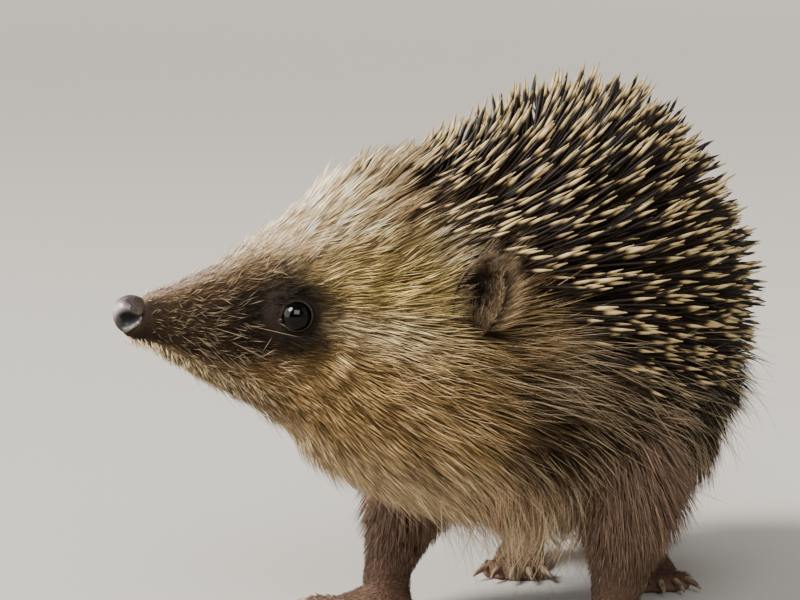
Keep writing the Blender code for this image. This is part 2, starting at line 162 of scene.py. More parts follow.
def along_body(along, across, height):
    """Points in millimetres, from the place of the nose on the floor."""
    along, across, height = np.broadcast_arrays(*(np.asarray(v, float) for v in (along, across, height)))
    line = np.stack([np.interp(along, LINE_AT, LINE_X), np.interp(along, LINE_AT, LINE_Y), height], -1)
    return line + ways(along)[1] * across[..., None]


eye_low, eye_high = (np.array(corner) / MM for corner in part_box("eye_left"))
SHIFT = ((eye_low + eye_high) / 2 - along_body(EYE_AT, -EYE_ACROSS, EYE_HEIGHT)) * (1, 1, 0)


def spot(along, across, height):
    """Points in millimetres, in the frame of the solids."""
    return along_body(along, across, height) + SHIFT


def smoothstep(value, low, high):
    """A smooth rise from 0 at low to 1 at high, or a fall where low is above high."""
    t = np.clip((value - low) / (high - low), 0, 1)
    return t * t * (3 - 2 * t)


def taper(along):
    """Rounds the two ends of the skin off."""
    front = np.clip((SKIN_FRONT + FRONT_ROUNDING - along) / FRONT_ROUNDING, 0, 1)
    rear = np.clip((along - SKIN_END + REAR_ROUNDING) / REAR_ROUNDING, 0, 1)
    return np.sqrt(np.clip((1 - 0.8 * front**2) * (1 - 0.97 * rear**2), 0.01, 1))


def on_form(along, angle, under=0.0):
    """Points on the form at these places, with angles in radians.

    under is 0 at the tips of the coat and 1 on the skin.
    """
    end = 1 + (taper(along) - 1) * under
    half = (half_width(along) - under * depth_side(along)) * end
    rise = (top(along) - widest(along) - under * depth_top(along)) * end
    fall = (widest(along) - underside(along) - under * depth_under(along)) * end
    power = np.where(np.sin(angle) > 0, 2 / SQUARENESS_UPPER, 2 / SQUARENESS_LOWER)
    across = np.sign(np.cos(angle)) * np.abs(np.cos(angle)) ** power * half
    up = np.sign(np.sin(angle)) * np.abs(np.sin(angle)) ** power
    return spot(along, across, widest(along) + up * np.where(up > 0, rise, fall))


def unit(vectors):
    """These vectors, each made one long."""
    return vectors / np.maximum(np.linalg.norm(vectors, axis=-1, keepdims=True), 1e-9)


def turned_towards(way, towards, angle):
    """Ways turned by these angles towards other ways that stand square to them."""
    return way * np.cos(angle)[:, None] + towards * np.sin(angle)[:, None]


def skin_ways(along, angle):
    """The skin's outward normal there, and its direction towards the tail."""
    tailward = on_form(along + 0.4, angle, 1) - on_form(along - 0.4, angle, 1)
    around = on_form(along, angle + 0.02, 1) - on_form(along, angle - 0.02, 1)
    return unit(np.cross(around, tailward)), unit(tailward)


def from_crest(angle):
    """Degrees from the crest of the back, 0 to 180, the same on both sides."""
    return np.degrees(np.abs((angle - math.pi / 2 + math.pi) % (2 * math.pi) - math.pi))


# --- Markings, shared by the skin and the coat ---


def linear(hex_colour):
    """sRGB hex to linear."""
    values = np.array([int(hex_colour[i : i + 2], 16) / 255 for i in (1, 3, 5)])
    return np.where(values <= 0.04045, values / 12.92, ((values + 0.055) / 1.055) ** 2.4)


def mixed(first, second, share):
    """Two colours mixed, with this share of the second."""
    return first * (1 - share) + second * share


# Each marking: its middle as distance from the nose and degrees from the crest, its reach in both, and the
# colours of the hairs' roots and tips there.
MARKINGS = {
    "nose_edge": (3.5, 115, 4.2, 75, "#100c08", "#2e231a"),
    "snout_ridge": (13, 0, 15, 30, "#514035", "#ac9585"),
    "stop": (31, 0, 12, 42, "#a98a60", "#ffefcc"),
    "snout_shade": (20, 45, 10, 17, "#1a110a", "#5b432a"),
    "snout_side": (13, 92, 14, 36, "#130c07", "#453520"),
    "mask": (26, 80, 10, 28, "#0b0705", "#181007"),
    "lip": (14, 158, 14, 22, "#4f3c27", "#a7916c"),
    "forehead": (44, 16, 14, 38, "#674c2c", "#ffe0ae"),
    "temple": (47, 66, 13, 21, "#4c3816", "#c9b16b"),
    "behind_eye": (44, 88, 9, 11, "#5c4727", "#f2dcb4"),
    "cheek": (46, 110, 13, 26, "#402b10", "#bb9b65"),
    "jaw": (33, 135, 12, 22, "#4a361d", "#b79560"),
    "ear_base": (66, 76, 8, 16, "#1d130b", "#a08356"),
    "throat": (50, 160, 20, 26, "#6a5131", "#d2ba91"),
    # The neck, the shoulder, the flank and the haunch are darker than the coat's own colour: painted shade
    # of the shadowed side.
    "neck": (78, 106, 11, 24, "#100a05", "#4c3a24"),
    "shoulder": (92, 106, 14, 22, "#070402", "#1d150f"),
    "elbow": (86, 146, 12, 15, "#3a2b1f", "#ead3b8"),
    "over_ear": (58, 58, 8, 9, "#503c25", "#ffe8c4"),
    "chest": (80, 160, 18, 26, "#3c2a1c", "#a98668"),
    # Painted shade: the flank and the haunch below are coloured for the shadow of the side.
    "flank": (122, 113, 26, 32, "#060402", "#19120c"),
    "belly": (124, 175, 30, 30, "#1c130c", "#5c4c3a"),
    "haunch": (156, 122, 20, 34, "#130d09", "#554335"),
    "mantle": (110, 20, 60, 70, "#0b0704", "#21170e"),
}


def markings(along, angle):
    """Root and tip colours at these places.

    Each marking fades into its neighbours, and the eyes are ringed dark. The colours are mixed as powers,
    which comes near to how the eye sees them.
    """
    crest = from_crest(angle)
    weight = np.zeros(np.shape(along))
    root = np.zeros((*np.shape(along), 3))
    tip = np.zeros_like(root)
    for middle, centre, reach, spread, root_hex, tip_hex in MARKINGS.values():
        share = np.exp(-1.9 * (((along - middle) / reach) ** 2 + ((crest - centre) / spread) ** 2)) + 1e-12
        weight += share
        root += share[..., None] * linear(root_hex) ** 0.4
        tip += share[..., None] * linear(tip_hex) ** 0.4
    root = (root / weight[..., None]) ** 2.5
    tip = (tip / weight[..., None]) ** 2.5
    ringed = 1 - smoothstep(from_eyes(along, angle), 4.0, 5.9)[..., None]
    return root + (linear("#0f0a06") - root) * ringed, tip + (linear("#23180f") - tip) * ringed


def from_eyes(along, angle):
    """How far these places lie from the nearer eye, with its dark ring drawn out towards the nose."""
    points = on_form(along, angle, 1)
    nearest = np.full(np.shape(along), 99.0)
    for _, sign in SIDES:
        centre, look = eye_ways(sign)
        offset = points - centre
        out = offset @ look
        ahead = -(offset @ ways(EYE_AT)[0])
        away = np.linalg.norm(offset - out[..., None] * look, axis=-1) - 0.22 * np.clip(ahead, 0, 8)
        nearest = np.where(out > -6, np.minimum(nearest, away), nearest)
    return nearest


# --- Meshes ---


def mesh_from(name, points, triangles, colours=None, uv=None):
    """A mesh from points in mm, triangles of point numbers, a colour per point and a UV per corner."""
    mesh = bpy.data.meshes.new(name)
    triangles = np.ascontiguousarray(triangles, np.int32)
    mesh.vertices.add(len(points))
    mesh.vertices.foreach_set("co", np.ascontiguousarray(points * MM, np.float32).ravel())
    mesh.loops.add(triangles.size)
    mesh.loops.foreach_set("vertex_index", triangles.ravel())
    mesh.polygons.add(len(triangles))
    mesh.polygons.foreach_set("loop_start", np.arange(len(triangles), dtype=np.int32) * 3)
    mesh.update(calc_edges=True)
    mesh.shade_smooth()
    if colours is not None:
        tint = mesh.color_attributes.new("tint", "FLOAT_COLOR", "POINT")
        opaque = np.concatenate([colours, np.ones((len(colours), 1))], 1)
        tint.data.foreach_set("color", opaque.astype(np.float32).ravel())
    if uv is not None:
        layer = mesh.uv_layers.new(name="OFBake")
        layer.uv.foreach_set("vector", uv.astype(np.float32).ravel())
    return mesh


def add_piece(name, mesh, material, stands_for=()):
    """Puts a finished mesh in the scene as a piece of the hedgehog."""
    obj = bpy.data.objects.new(name, mesh)
    bpy.context.scene.collection.objects.link(obj)
    mesh.materials.clear()
    mesh.materials.append(material)
    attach(obj, "root")
    if stands_for:
        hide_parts(*stands_for)


def grid_of(rows, columns):
    """Every pair of these values, row by row."""
    return (values.ravel() for values in np.meshgrid(rows, columns, indexing="ij"))


def grid_triangles(rows, columns, wrap=True):
    """Two triangles for each cell of a grid of points, outwards when the rows run back and turn upwards."""
    i, j = np.meshgrid(np.arange(rows - 1), np.arange(columns if wrap else columns - 1), indexing="ij")
    a, b = i * columns + j, i * columns + (j + 1) % columns
    c, d = b + columns, a + columns
    return np.concatenate([np.stack(corners, -1).reshape(-1, 3) for corners in ((a, d, b), (b, d, c))])


def facing_out(points, triangles):
    """Turns a closed shell the right way out, by the sign of its volume."""
    middle = points.mean(0)
    a, b, c = (points[triangles[:, i]] for i in range(3))
    volume = np.einsum("ij,ij->i", a - middle, np.cross(b - middle, c - middle)).sum()
    return points, triangles if volume > 0 else triangles[:, ::-1]


def closed_tube(points, columns, ends=None):
    """A closed shell from rings of points and a point at each end, which can be its ring's middle."""
    rear = len(points) - columns
    if ends is None:
        ends = [points[:columns].mean(0), points[rear:].mean(0)]
    around, following = np.arange(columns), (np.arange(columns) + 1) % columns
    triangles = np.concatenate([
        grid_triangles(len(points) // columns, columns),
        np.stack([np.full(columns, len(points)), around, following], 1),
        np.stack([np.full(columns, len(points) + 1), rear + following, rear + around], 1),
    ])  # fmt: skip
    return facing_out(np.concatenate([points, ends]), triangles)


def evaluated_mesh(mesh, *modifiers):
    """The mesh with these modifiers applied: each is its type and a dict of settings."""
    obj = bpy.data.objects.new("working", mesh)
    bpy.context.scene.collection.objects.link(obj)
    for kind, settings in modifiers:
        modifier = obj.modifiers.new(kind, kind)
        for key, value in settings.items():
            setattr(modifier, key, value)
    bpy.context.view_layer.update()
    shown = obj.evaluated_get(bpy.context.evaluated_depsgraph_get())
    result = bpy.data.meshes.new_from_object(shown)
    bpy.data.objects.remove(obj, do_unlink=True)
    return result


def mesh_arrays(mesh):
    """Points in mm and triangles of a mesh."""
    points = np.empty(len(mesh.vertices) * 3, np.float32)
    mesh.vertices.foreach_get("co", points)
    mesh.calc_loop_triangles()
    triangles = np.empty(len(mesh.loop_triangles) * 3, np.int32)
    mesh.loop_triangles.foreach_get("vertices", triangles)
    return points.reshape(-1, 3).astype(float) / MM, triangles.reshape(-1, 3)


def joined(shells):
    """Points, triangles and colours of several shells as one."""
    points, triangles, colours, start = [], [], [], 0
    for shell_points, shell_triangles, shell_colours in shells:
        points.append(shell_points)
        triangles.append(shell_triangles + start)
        colours.append(np.broadcast_to(shell_colours, (len(shell_points), 3)))
        start += len(shell_points)
    return np.concatenate(points), np.concatenate(triangles), np.concatenate(colours)


# --- Materials ---


def add_node(tree, kind, settings=None, **links):
    """Adds a node. A link names an input, or numbers it as in i0, and holds its value or what feeds it."""
    node = tree.nodes.new(kind)
    for key, value in (settings or {}).items():
        setattr(node, key, value)
    for key, value in links.items():
        numbered = re.fullmatch(r"i\d", key)
        socket = node.inputs[int(key[1:]) if numbered else key.replace("_", " ")]
        if isinstance(value, bpy.types.NodeSocket):
            tree.links.new(value, socket)
        else:
            socket.default_value = value
    return node


def new_material(name, **shader_values):
    """A material with these values on its shader, with its node tree and that shader."""
    material = bpy.data.materials.new(name)
    material.use_nodes = True
    shader = material.node_tree.nodes["Principled BSDF"]
    for key, value in shader_values.items():
        shader.inputs[key.replace("_", " ")].default_value = value
    return material, material.node_tree, shader


def set_ramp(ramp, stops):
    """Fills a colour ramp with places and colours."""
    bands = ramp.color_ramp
    while len(bands.elements) < len(stops):
        bands.elements.new(0.5)
    for element, (place, colour) in zip(bands.elements, stops):
        element.position = place
        element.color = (*linear(colour), 1)


def per_mm(count):
    """The scale of a pattern with this many cells to a millimetre."""
    return count / MM


def mottled(tree, shader, scale, detail, darkest, palest):
    """Gives the shader the mesh's own colours, made a little darker and paler in patches."""
    place = add_node(tree, "ShaderNodeTexCoord")
    tint = add_node(tree, "ShaderNodeAttribute", {"attribute_name": "tint"})
    mottle = add_node(
        tree, "ShaderNodeTexNoise", Vector=place.outputs["Object"], Scale=scale, Detail=detail
    )  # fmt: skip
    shade = add_node(
        tree, "ShaderNodeMapRange", Value=mottle.outputs["Fac"], To_Min=darkest, To_Max=palest
    )  # fmt: skip
    coloured = add_node(
        tree, "ShaderNodeVectorMath", {"operation": "SCALE"},
        i0=tint.outputs["Color"], Scale=shade.outputs[0],
    )  # fmt: skip
    tree.links.new(coloured.outputs[0], shader.inputs["Base Color"])
    return place


def hair_material():
    """Keratin hair, which scatters light and hardly shines. Each strand holds its own colours."""
    material, tree, shader = new_material("keratin_fur", Roughness=0.58, Specular_IOR_Level=0.11, IOR=1.55)
    tint = add_node(tree, "ShaderNodeAttribute", {"attribute_name": "tint"})
    tree.links.new(tint.outputs["Color"], shader.inputs["Base Color"])
    return material


def spine_material():
    """Spines are hollow modified hairs of smooth hard keratin: a soft gleam, dark brown with a pale end."""
    material, tree, shader = new_material("keratin_spine", Roughness=0.42, Specular_IOR_Level=0.11, IOR=1.55)
    along = add_node(tree, "ShaderNodeAttribute", {"attribute_name": "along"})
    spine_tone_and_shade = add_node(tree, "ShaderNodeAttribute", {"attribute_name": "spine_tone_and_shade"})
    shifted = add_node(
        tree, "ShaderNodeMath", {"operation": "MULTIPLY_ADD"},
        i0=spine_tone_and_shade.outputs["Fac"], i1=0.12, i2=along.outputs["Fac"],
    )  # fmt: skip
    ramp = add_node(tree, "ShaderNodeValToRGB", Fac=shifted.outputs[0])
    set_ramp(ramp, (
        (0.0, "#5c4c34"), (0.2, "#473722"), (0.36, "#23180b"), (0.45, "#1a1008"), (0.8, "#1a1008"),
        (0.835, "#65512f"), (0.875, "#9f8c62"), (0.94, "#a8956d"), (1.0, "#937e57"),
    ))  # fmt: skip
    # Each spine's tone scales its colours: at random, paler on the crown, and with painted shade towards the
    # rump.
    dim = add_node(
        tree, "ShaderNodeMapRange",
        Value=spine_tone_and_shade.outputs["Fac"], From_Min=-1.5, From_Max=0.8, To_Min=0.36, To_Max=1.07,
    )  # fmt: skip
    toned = add_node(
        tree, "ShaderNodeVectorMath", {"operation": "SCALE"}, i0=ramp.outputs["Color"], Scale=dim.outputs[0]
    )
    tree.links.new(toned.outputs[0], shader.inputs["Base Color"])
    return material


def skin_material():
    """Skin under sparse hair: fine creases and pores, slightly moist."""
    material, tree, shader = new_material("living_skin", Roughness=0.7, Specular_IOR_Level=0.06)
    place = mottled(tree, shader, per_mm(0.6), 4.0, 0.7, 1.3)
    # The pores are coarser than real ones, so that they show.
    pores = add_node(
        tree, "ShaderNodeTexVoronoi", {"feature": "F1"}, Vector=place.outputs["Object"], Scale=per_mm(2.2)
    )
    bump = add_node(
        tree, "ShaderNodeBump", Height=pores.outputs["Distance"], Strength=0.6, Distance=0.15 * MM
    )  # fmt: skip
    tree.links.new(bump.outputs["Normal"], shader.inputs["Normal"])
    return material


def nose_material():
    """Bare wet skin with a pebbled grain, so that it gleams softly, and dull inside the nostrils."""
    material, tree, shader = new_material(
        "moist_nose_pad", IOR=1.45, Coat_Weight=0.06, Coat_Roughness=0.26, Coat_IOR=1.34
    )
    place = mottled(tree, shader, per_mm(0.7), 3.0, 0.75, 1.3)
    tint = add_node(tree, "ShaderNodeAttribute", {"attribute_name": "tint"})
    dull = add_node(
        tree, "ShaderNodeMapRange",
        Value=tint.outputs["Fac"], From_Min=0.003, From_Max=0.016, To_Min=1.0, To_Max=0.3,
    )  # fmt: skip
    tree.links.new(dull.outputs[0], shader.inputs["Roughness"])
    # A pebble of the grain is about 0.4 mm wide.
    grain = add_node(
        tree, "ShaderNodeTexVoronoi", {"feature": "SMOOTH_F1"},
        Vector=place.outputs["Object"], Scale=per_mm(2.4),
    )  # fmt: skip
    bump = add_node(
        tree, "ShaderNodeBump", Height=grain.outputs["Distance"], Strength=0.7, Distance=0.12 * MM
    )  # fmt: skip
    tree.links.new(bump.outputs["Normal"], shader.inputs["Normal"])
    return material


def eye_material():
    """A wet, nearly black eye: the index is that of its film of tears."""
    material, _, _ = new_material(
        "wet_eye", Base_Color=(*linear("#030201"), 1), Roughness=0.03, IOR=1.34, Specular_IOR_Level=0.28
    )
    return material


def tear_material():
    """The moist red-brown skin in the inner corner of the eye."""
    material, tree, shader = new_material("moist_eye_corner", Roughness=0.2, IOR=1.34)
    mottled(tree, shader, per_mm(1.5), 2.0, 0.8, 1.2)
    return material


def claw_material():
    """Claws: dull horn, streaked dark and pale, worn smooth at the tip."""
    material, tree, shader = new_material("horn_claw", Roughness=0.45, Specular_IOR_Level=0.4)
    place = add_node(tree, "ShaderNodeTexCoord")
    # The streaks are about 1 mm wide, coarser than real ones, so that they show.
    streaks = add_node(
        tree, "ShaderNodeTexNoise", Vector=place.outputs["Object"], Scale=per_mm(0.9), Detail=2.0
    )  # fmt: skip
    ramp = add_node(tree, "ShaderNodeValToRGB", Fac=streaks.outputs["Fac"])
    set_ramp(ramp, ((0.3, "#3a2c22"), (0.75, "#8d775f")))
    tree.links.new(ramp.outputs["Color"], shader.inputs["Base Color"])
    return material


# --- The skin ---

MOUTH_LINE = ((3.0, 62.4), (9.5, 59.6), (17.5, 56.6), (26.0, 54.6))  # distance from the nose and height
MOUTH_END = 25.0
LID_RADIUS, LID_OUT, LID_THICKNESS = 3.0, 1.35, 0.34
mouth_height = smooth_curve(MOUTH_LINE)


def eye_ways(sign):
    """The middle of an eye, and the way it looks: outwards, a little forwards and up."""
    back, right = ways(EYE_AT)
    look = unit(right * sign * 0.94 - back * 0.30 + UP * 0.16)
    return spot(EYE_AT, sign * EYE_ACROSS, EYE_HEIGHT), look


def towards_nose(look):
    """The way towards the nose, square to the way that an eye looks."""
    forwards = -ways(EYE_AT)[0]
    return unit(forwards - look * (forwards @ look))


def mound_round_eye(points, sign):
    """Raises the skin to the lids, and sinks it behind the eyeball."""
    centre, look = eye_ways(sign)
    offset = points - centre
    out = offset @ look
    away = np.linalg.norm(offset - out[:, None] * look, axis=1)
    near = (away < 9) & (out > -6)
    rim = 1 - smoothstep(away, LID_RADIUS, 8.0)
    raised = out + (LID_OUT - 0.1 - out) * rim
    ball = np.sqrt(np.clip(EYE_RADIUS**2 - away**2, 0, None)) - 0.6
    target = np.where(away < LID_RADIUS, np.minimum(raised, ball), raised)
    return points + np.where(near, target - out, 0)[:, None] * look


def carve_mouth(points, along, normals):
    """Presses in the line of the mouth, and lets the lips swell beside it."""
    off = points[:, 2] - mouth_height(along)
    fade = smoothstep(along, 4.5, 7.5) * (1 - smoothstep(along, MOUTH_END - 4, MOUTH_END))
    groove = np.exp(-((off / 0.42) ** 2)) * 0.75
    lips = np.exp(-(((np.abs(off) - 1.1) / 0.7) ** 2)) * 0.22
    return points + normals * ((lips - groove) * fade)[:, None]


def trunk_shell():
    """The skin of head and trunk, closed at the nose and at the rump."""
    head, body = np.arange(SKIN_FRONT, HEAD_END, HEAD_STEP), np.arange(HEAD_END, SKIN_END, BODY_STEP)
    angle = np.linspace(0, 2 * math.pi, SKIN_COLUMNS, endpoint=False)
    s, a = grid_of(np.concatenate([head, body, [SKIN_END]]), angle)
    normals, _ = skin_ways(s, a)
    points = carve_mouth(on_form(s, a, 1), s, normals)
    for _, sign in SIDES:
        points = mound_round_eye(points, sign)
    root, tip = markings(s, a)
    colours = root * 0.8 + tip * 0.2
    return *closed_tube(points, SKIN_COLUMNS), np.concatenate([colours, colours[:1], colours[-1:]])


def lid_shell(sign):
    """The rims of both eyelids: a soft ring that narrows to a corner towards the nose."""
    centre, look = eye_ways(sign)
    forwards = towards_nose(look)
    upwards = unit(np.cross(look, forwards)) * (1 if np.cross(look, forwards)[2] > 0 else -1)
    rounds, tubes = 64, 12
    turn = np.linspace(0, 2 * math.pi, rounds, endpoint=False)
    corner = np.exp(-((np.angle(np.exp(1j * (turn + 0.25))) / 0.28) ** 2))
    radius = LID_RADIUS + corner * 0.75
    rim = forwards * (np.cos(turn) * radius)[:, None] + upwards * (np.sin(turn) * radius * 0.97)[:, None]
    thick = LID_THICKNESS * (1 + 0.35 * np.clip(np.sin(turn), 0, 1)) * (1 - 0.25 * corner)
    middle = centre + rim + look * (LID_OUT - 0.35 * corner)[:, None]
    phase = np.linspace(0, 2 * math.pi, tubes, endpoint=False)
    ring = unit(rim)[:, None, :] * np.cos(phase)[None, :, None] + look * np.sin(phase)[None, :, None]
    points = (middle[:, None, :] + ring * thick[:, None, None]).reshape(-1, 3)
    points, triangles = facing_out(points, grid_triangles(rounds + 1, tubes) % (rounds * tubes))
    inner = np.tile(np.clip(-np.cos(phase), 0, 1), rounds)[:, None]
    return points, triangles, mixed(linear("#160f0a"), linear("#8d8672"), inner * 0.4)


EAR_AT, EAR_ACROSS, EAR_HEIGHT = 59.6, 25.3, 65.6
EAR_LENGTH, EAR_HALF_WIDTH, EAR_THICKNESS = 12.6, 4.5, 0.55
EAR_LEAN = (0.95, 0.15, 0.24)  # the way from the ear's root to its tip: up, outwards and backwards
EAR_FACING = (0.80, 0.60)  # the way its hollow faces: outwards and forwards
EAR_CUP, EAR_TIP_CURL, EAR_STAND_OFF = 3.6, 0.5, 1.9


def ear_ways(sign):
    """Ways at an ear: up its leaf, the way its hollow faces, across it, and out from the head."""
    back, right = ways(EAR_AT)
    out = right * sign
    up = unit(UP * EAR_LEAN[0] + out * EAR_LEAN[1] + back * EAR_LEAN[2])
    facing = unit(out * EAR_FACING[0] - back * EAR_FACING[1])
    return up, facing, unit(np.cross(up, facing)), out


def ear_sheet(sign, u, v, lift=0.0):
    """Points of the ear's leaf: u runs from -1 to 1 across it, v from 0 at its root to 1 at its tip."""
    up, facing, wide, out = ear_ways(sign)
    width = EAR_HALF_WIDTH * np.sin(math.pi * (0.22 + 0.70 * np.clip(v, 0, 1))) ** 0.6
    cup = EAR_CUP * (1 - u * u) * np.cos(np.clip(v, 0, 1) * math.pi / 2) ** 0.5 + EAR_TIP_CURL * v
    ripple = 0.25 * np.sin(v * 23) * (1 - u * u)
    sunk = np.clip(-v, 0, 1)
    width = width * (1 - sunk)
    offset = (v * EAR_LENGTH)[:, None] * up + (u * width)[:, None] * wide
    offset = offset + out * (EAR_STAND_OFF - 12 * sunk)[:, None] + facing * (lift - cup + ripple)[:, None]
    return spot(EAR_AT, sign * EAR_ACROSS, EAR_HEIGHT) + offset


def ear_shell(sign):
    """A cupped leaf of skin with a rounded rim, rooted in the head under the fur."""
    rows, columns = 22, 17
    v, u = grid_of(np.linspace(-0.35, 1, rows), np.linspace(-1, 1, columns))
    mesh = mesh_from("ear_leaf", ear_sheet(sign, u, v), grid_triangles(rows, columns, wrap=False))
    mesh = evaluated_mesh(
        mesh,
        ("SOLIDIFY", {"thickness": EAR_THICKNESS * MM, "offset": 0.0}),
        ("SUBSURF", {"levels": 1, "render_levels": 1}),
    )
    points, triangles = facing_out(*mesh_arrays(mesh))
    up, facing, wide, _ = ear_ways(sign)
    offset = points - spot(EAR_AT, sign * EAR_ACROSS, EAR_HEIGHT)
    rearward = -sign * (offset @ wide) / EAR_HALF_WIDTH
    rim = np.maximum(smoothstep(offset @ up / EAR_LENGTH, 0.7, 1.0), smoothstep(rearward, 0.1, 0.9))[:, None]
    # Painted shade: the skin is darker deep in the ear's cup.
    rim = rim * (1 - 0.9 * smoothstep(-offset @ facing, 0.4, 1.6)[:, None])
    return points, triangles, mixed(linear("#0c0805"), linear("#3a2b1d"), rim)


# --- Legs, feet and tail ---

LEGS = {  # the joints of each leg: along, across, height, radius
    "foreleg_left": ((92, -17, 44, 11), (93, -21, 30, 9.5), (91, -22.5, 17, 7.2), (89, -22.5, 8, 5.8)),
    "foreleg_right": ((84, 15, 44, 11), (78, 20, 30, 9.2), (71, 22, 17, 7.0), (66, 22.5, 8, 5.6)),
    "hindleg_left": ((138, -11, 46, 15), (135, -11, 32, 13), (138, -10, 18, 8.6), (143, -9.5, 9, 6.0)),
    "hindleg_right": ((148, 13, 46, 15), (146, 15, 32, 13), (150, 16, 18, 8.6), (155, 16, 9, 6.0)),
}
LEG_COAT = 1.6  # how deep the short fur of the legs is
FEET = {
    "fore": {"heel": 5.0, "palm": 11.5, "half_width": 5.9, "height": 6.4, "toe": 5.6, "claw": 4.6},
    "hind": {"heel": 6.0, "palm": 20.0, "half_width": 5.5, "height": 6.6, "toe": 6.0, "claw": 4.8},
}
# Share of the way from heel to knuckles, then shares of the foot's width and height.
PALM_FORM = ((0, 0.45, 0.55), (0.12, 0.72, 0.85), (0.4, 0.85, 1), (0.75, 1, 0.72), (1, 0.9, 0.5))
TOE_RADIUS, KNUCKLE_BACK, KNUCKLE_HEIGHT, SOLE_CUT = 1.9, 2.5, 1.8, 0.6
TOE_SPREAD = (-30, -14, 0, 14, 30)  # in degrees
TOE_SHARE = (0.72, 0.94, 1.0, 0.92, 0.7)  # of the longest toe's length
CLAW_TAPER = ((-0.25, 0.8), (0.1, 0.85), (0.5, 0.66), (1, 0.26))  # share of the claw's length, radius
CLAW_RISE, CLAW_DROP = 0.6, 1.1
FOOT_TURN = 8  # how far a foot points outwards, in degrees
LEG_VOXEL, LEG_SMOOTHING = 0.65, 5  # the grain of the melted leg, and how often it is smoothed
# Distance from the nose, height, radius.
TAIL = ((170, 45, 4.6), (178, 42, 3.6), (186, 38.6, 2.4), (190.5, 35.4, 0.8))


def bent(rows, count):
    """count rows on smooth curves through these rows."""
    steps = range(len(rows))
    curves = [smooth_curve(list(zip(steps, column))) for column in zip(*rows)]
    t = np.linspace(0, len(rows) - 1, count)
    return np.stack([curve(t) for curve in curves], 1)


def tube_shell(centres, radii, sides, flat=(1.0, 1.0), upright=None):
    """A closed tube round these points. upright keeps its rings level, with one axis turned that way."""
    centres = np.asarray(centres, float)
    ahead = unit(np.gradient(centres, axis=0))
    side = np.broadcast_to(upright, ahead.shape) if upright is not None else unit(np.cross(ahead, UP))
    other = np.cross(side, UP) if upright is not None else np.cross(side, ahead)
    turn = np.linspace(0, 2 * math.pi, sides, endpoint=False)
    ring = side[:, None, :] * (np.cos(turn) * flat[0])[None, :, None]
    ring = ring + other[:, None, :] * (np.sin(turn) * flat[1])[None, :, None]
    points = centres[:, None, :] + ring * np.asarray(radii, float)[:, None, None]
    return closed_tube(points.reshape(-1, 3), sides, [centres[0], centres[-1]])


def leg_facts(name):
    """A leg's joints, the sizes of its foot, and the ways forwards and outwards for that foot."""
    joints = LEGS[name]
    sign = -1 if name.endswith("left") else 1
    return joints, FEET[name[:4]], *foot_ways(joints[-1][0], sign)


def foot_ways(along, sign):
    """Forwards and outwards for a foot."""
    forwards = -ways(along)[0]
    angle = math.radians(-sign * FOOT_TURN)
    turned = np.array((
        forwards[0] * math.cos(angle) - forwards[1] * math.sin(angle),
        forwards[0] * math.sin(angle) + forwards[1] * math.cos(angle), 0,
    ))  # fmt: skip
    return turned, np.array((turned[1], -turned[0], 0)) * sign


def foot_shells(base, size, forwards, outwards):
    """The palm and the toes with their swollen pads, before they are melted together."""
    sides = 20
    turn = np.linspace(0, 2 * math.pi, sides, endpoint=False)
    rings = []
    for share, width, height in bent(PALM_FORM, 14):
        reach = -size["heel"] + share * (size["heel"] + size["palm"])
        middle = size["height"] * height / 2
        centre = base + forwards * reach + UP * (middle - SOLE_CUT)
        ring = outwards * (np.cos(turn) * size["half_width"] * width)[:, None]
        rings.append(centre + ring + UP * (np.sin(turn) * (middle + SOLE_CUT))[:, None])
    shells = [closed_tube(np.concatenate(rings), sides)]
    for way, root_of_toe, length, _ in toe_places(size, forwards, outwards):
        t = np.linspace(0, 1, 9)
        centres = base + root_of_toe + way * (length * t)[:, None]
        radii = TOE_RADIUS * np.sqrt(np.clip(1 - ((t - 0.55) / 0.62) ** 4, 0.05, 1))
        radii = radii * (1 - 0.14 * np.cos(t * 12))
        shells.append(tube_shell(centres, radii, 16))
    return shells


def toe_places(size, forwards, outwards):
    """For each toe: its direction, the place of its root from the ankle, its length and its claw's."""
    places = []
    for spread, share in zip(TOE_SPREAD, TOE_SHARE):
        angle = math.radians(spread)
        way = forwards * math.cos(angle) + outwards * math.sin(angle)
        root = forwards * (size["palm"] - KNUCKLE_BACK) + outwards * size["half_width"] * math.sin(angle)
        length = size["toe"] * share + KNUCKLE_BACK
        places.append((way, root + UP * KNUCKLE_HEIGHT, length, size["claw"] * (0.8 + 0.2 * share)))
    return places


def melted(shells, voxel_mm, smooth):
    """Closed shells made one smooth body, with nothing below the floor."""
    points, triangles, _ = joined([(p, t, np.zeros(3)) for p, t in shells])
    mesh = evaluated_mesh(
        mesh_from("parts", points, triangles),
        ("REMESH", {"mode": "VOXEL", "voxel_size": voxel_mm * MM}),
        ("SMOOTH", {"factor": 0.5, "iterations": smooth}),
    )
    points, triangles = mesh_arrays(mesh)
    points[:, 2] = np.maximum(points[:, 2], 0)
    return points, triangles


def limb_shell(name):
    """A leg with its foot, as one body of skin."""
    joints, size, forwards, outwards = leg_facts(name)
    rows = bent(joints, 22)
    centres = spot(rows[:, 0], rows[:, 1], rows[:, 2])
    base = centres[-1] * (1, 1, 0)
    ahead = -ways(joints[-1][0])[0]
    lowest = np.concatenate([centres, [base + UP * 2.5]])
    radii = np.concatenate([rows[:, 3], [joints[-1][3] * 0.95]]) - LEG_COAT * 0.7
    shells = [tube_shell(lowest, radii, 24, (1.08, 0.95), upright=ahead)]
    shells += foot_shells(base, size, forwards, outwards)
    points, triangles = melted(shells, LEG_VOXEL, LEG_SMOOTHING)
    sole = smoothstep(points[:, 2], 3.5, 1.0)[:, None]
    return points, triangles, mixed(linear("#4a382c"), linear("#6b5248"), sole)


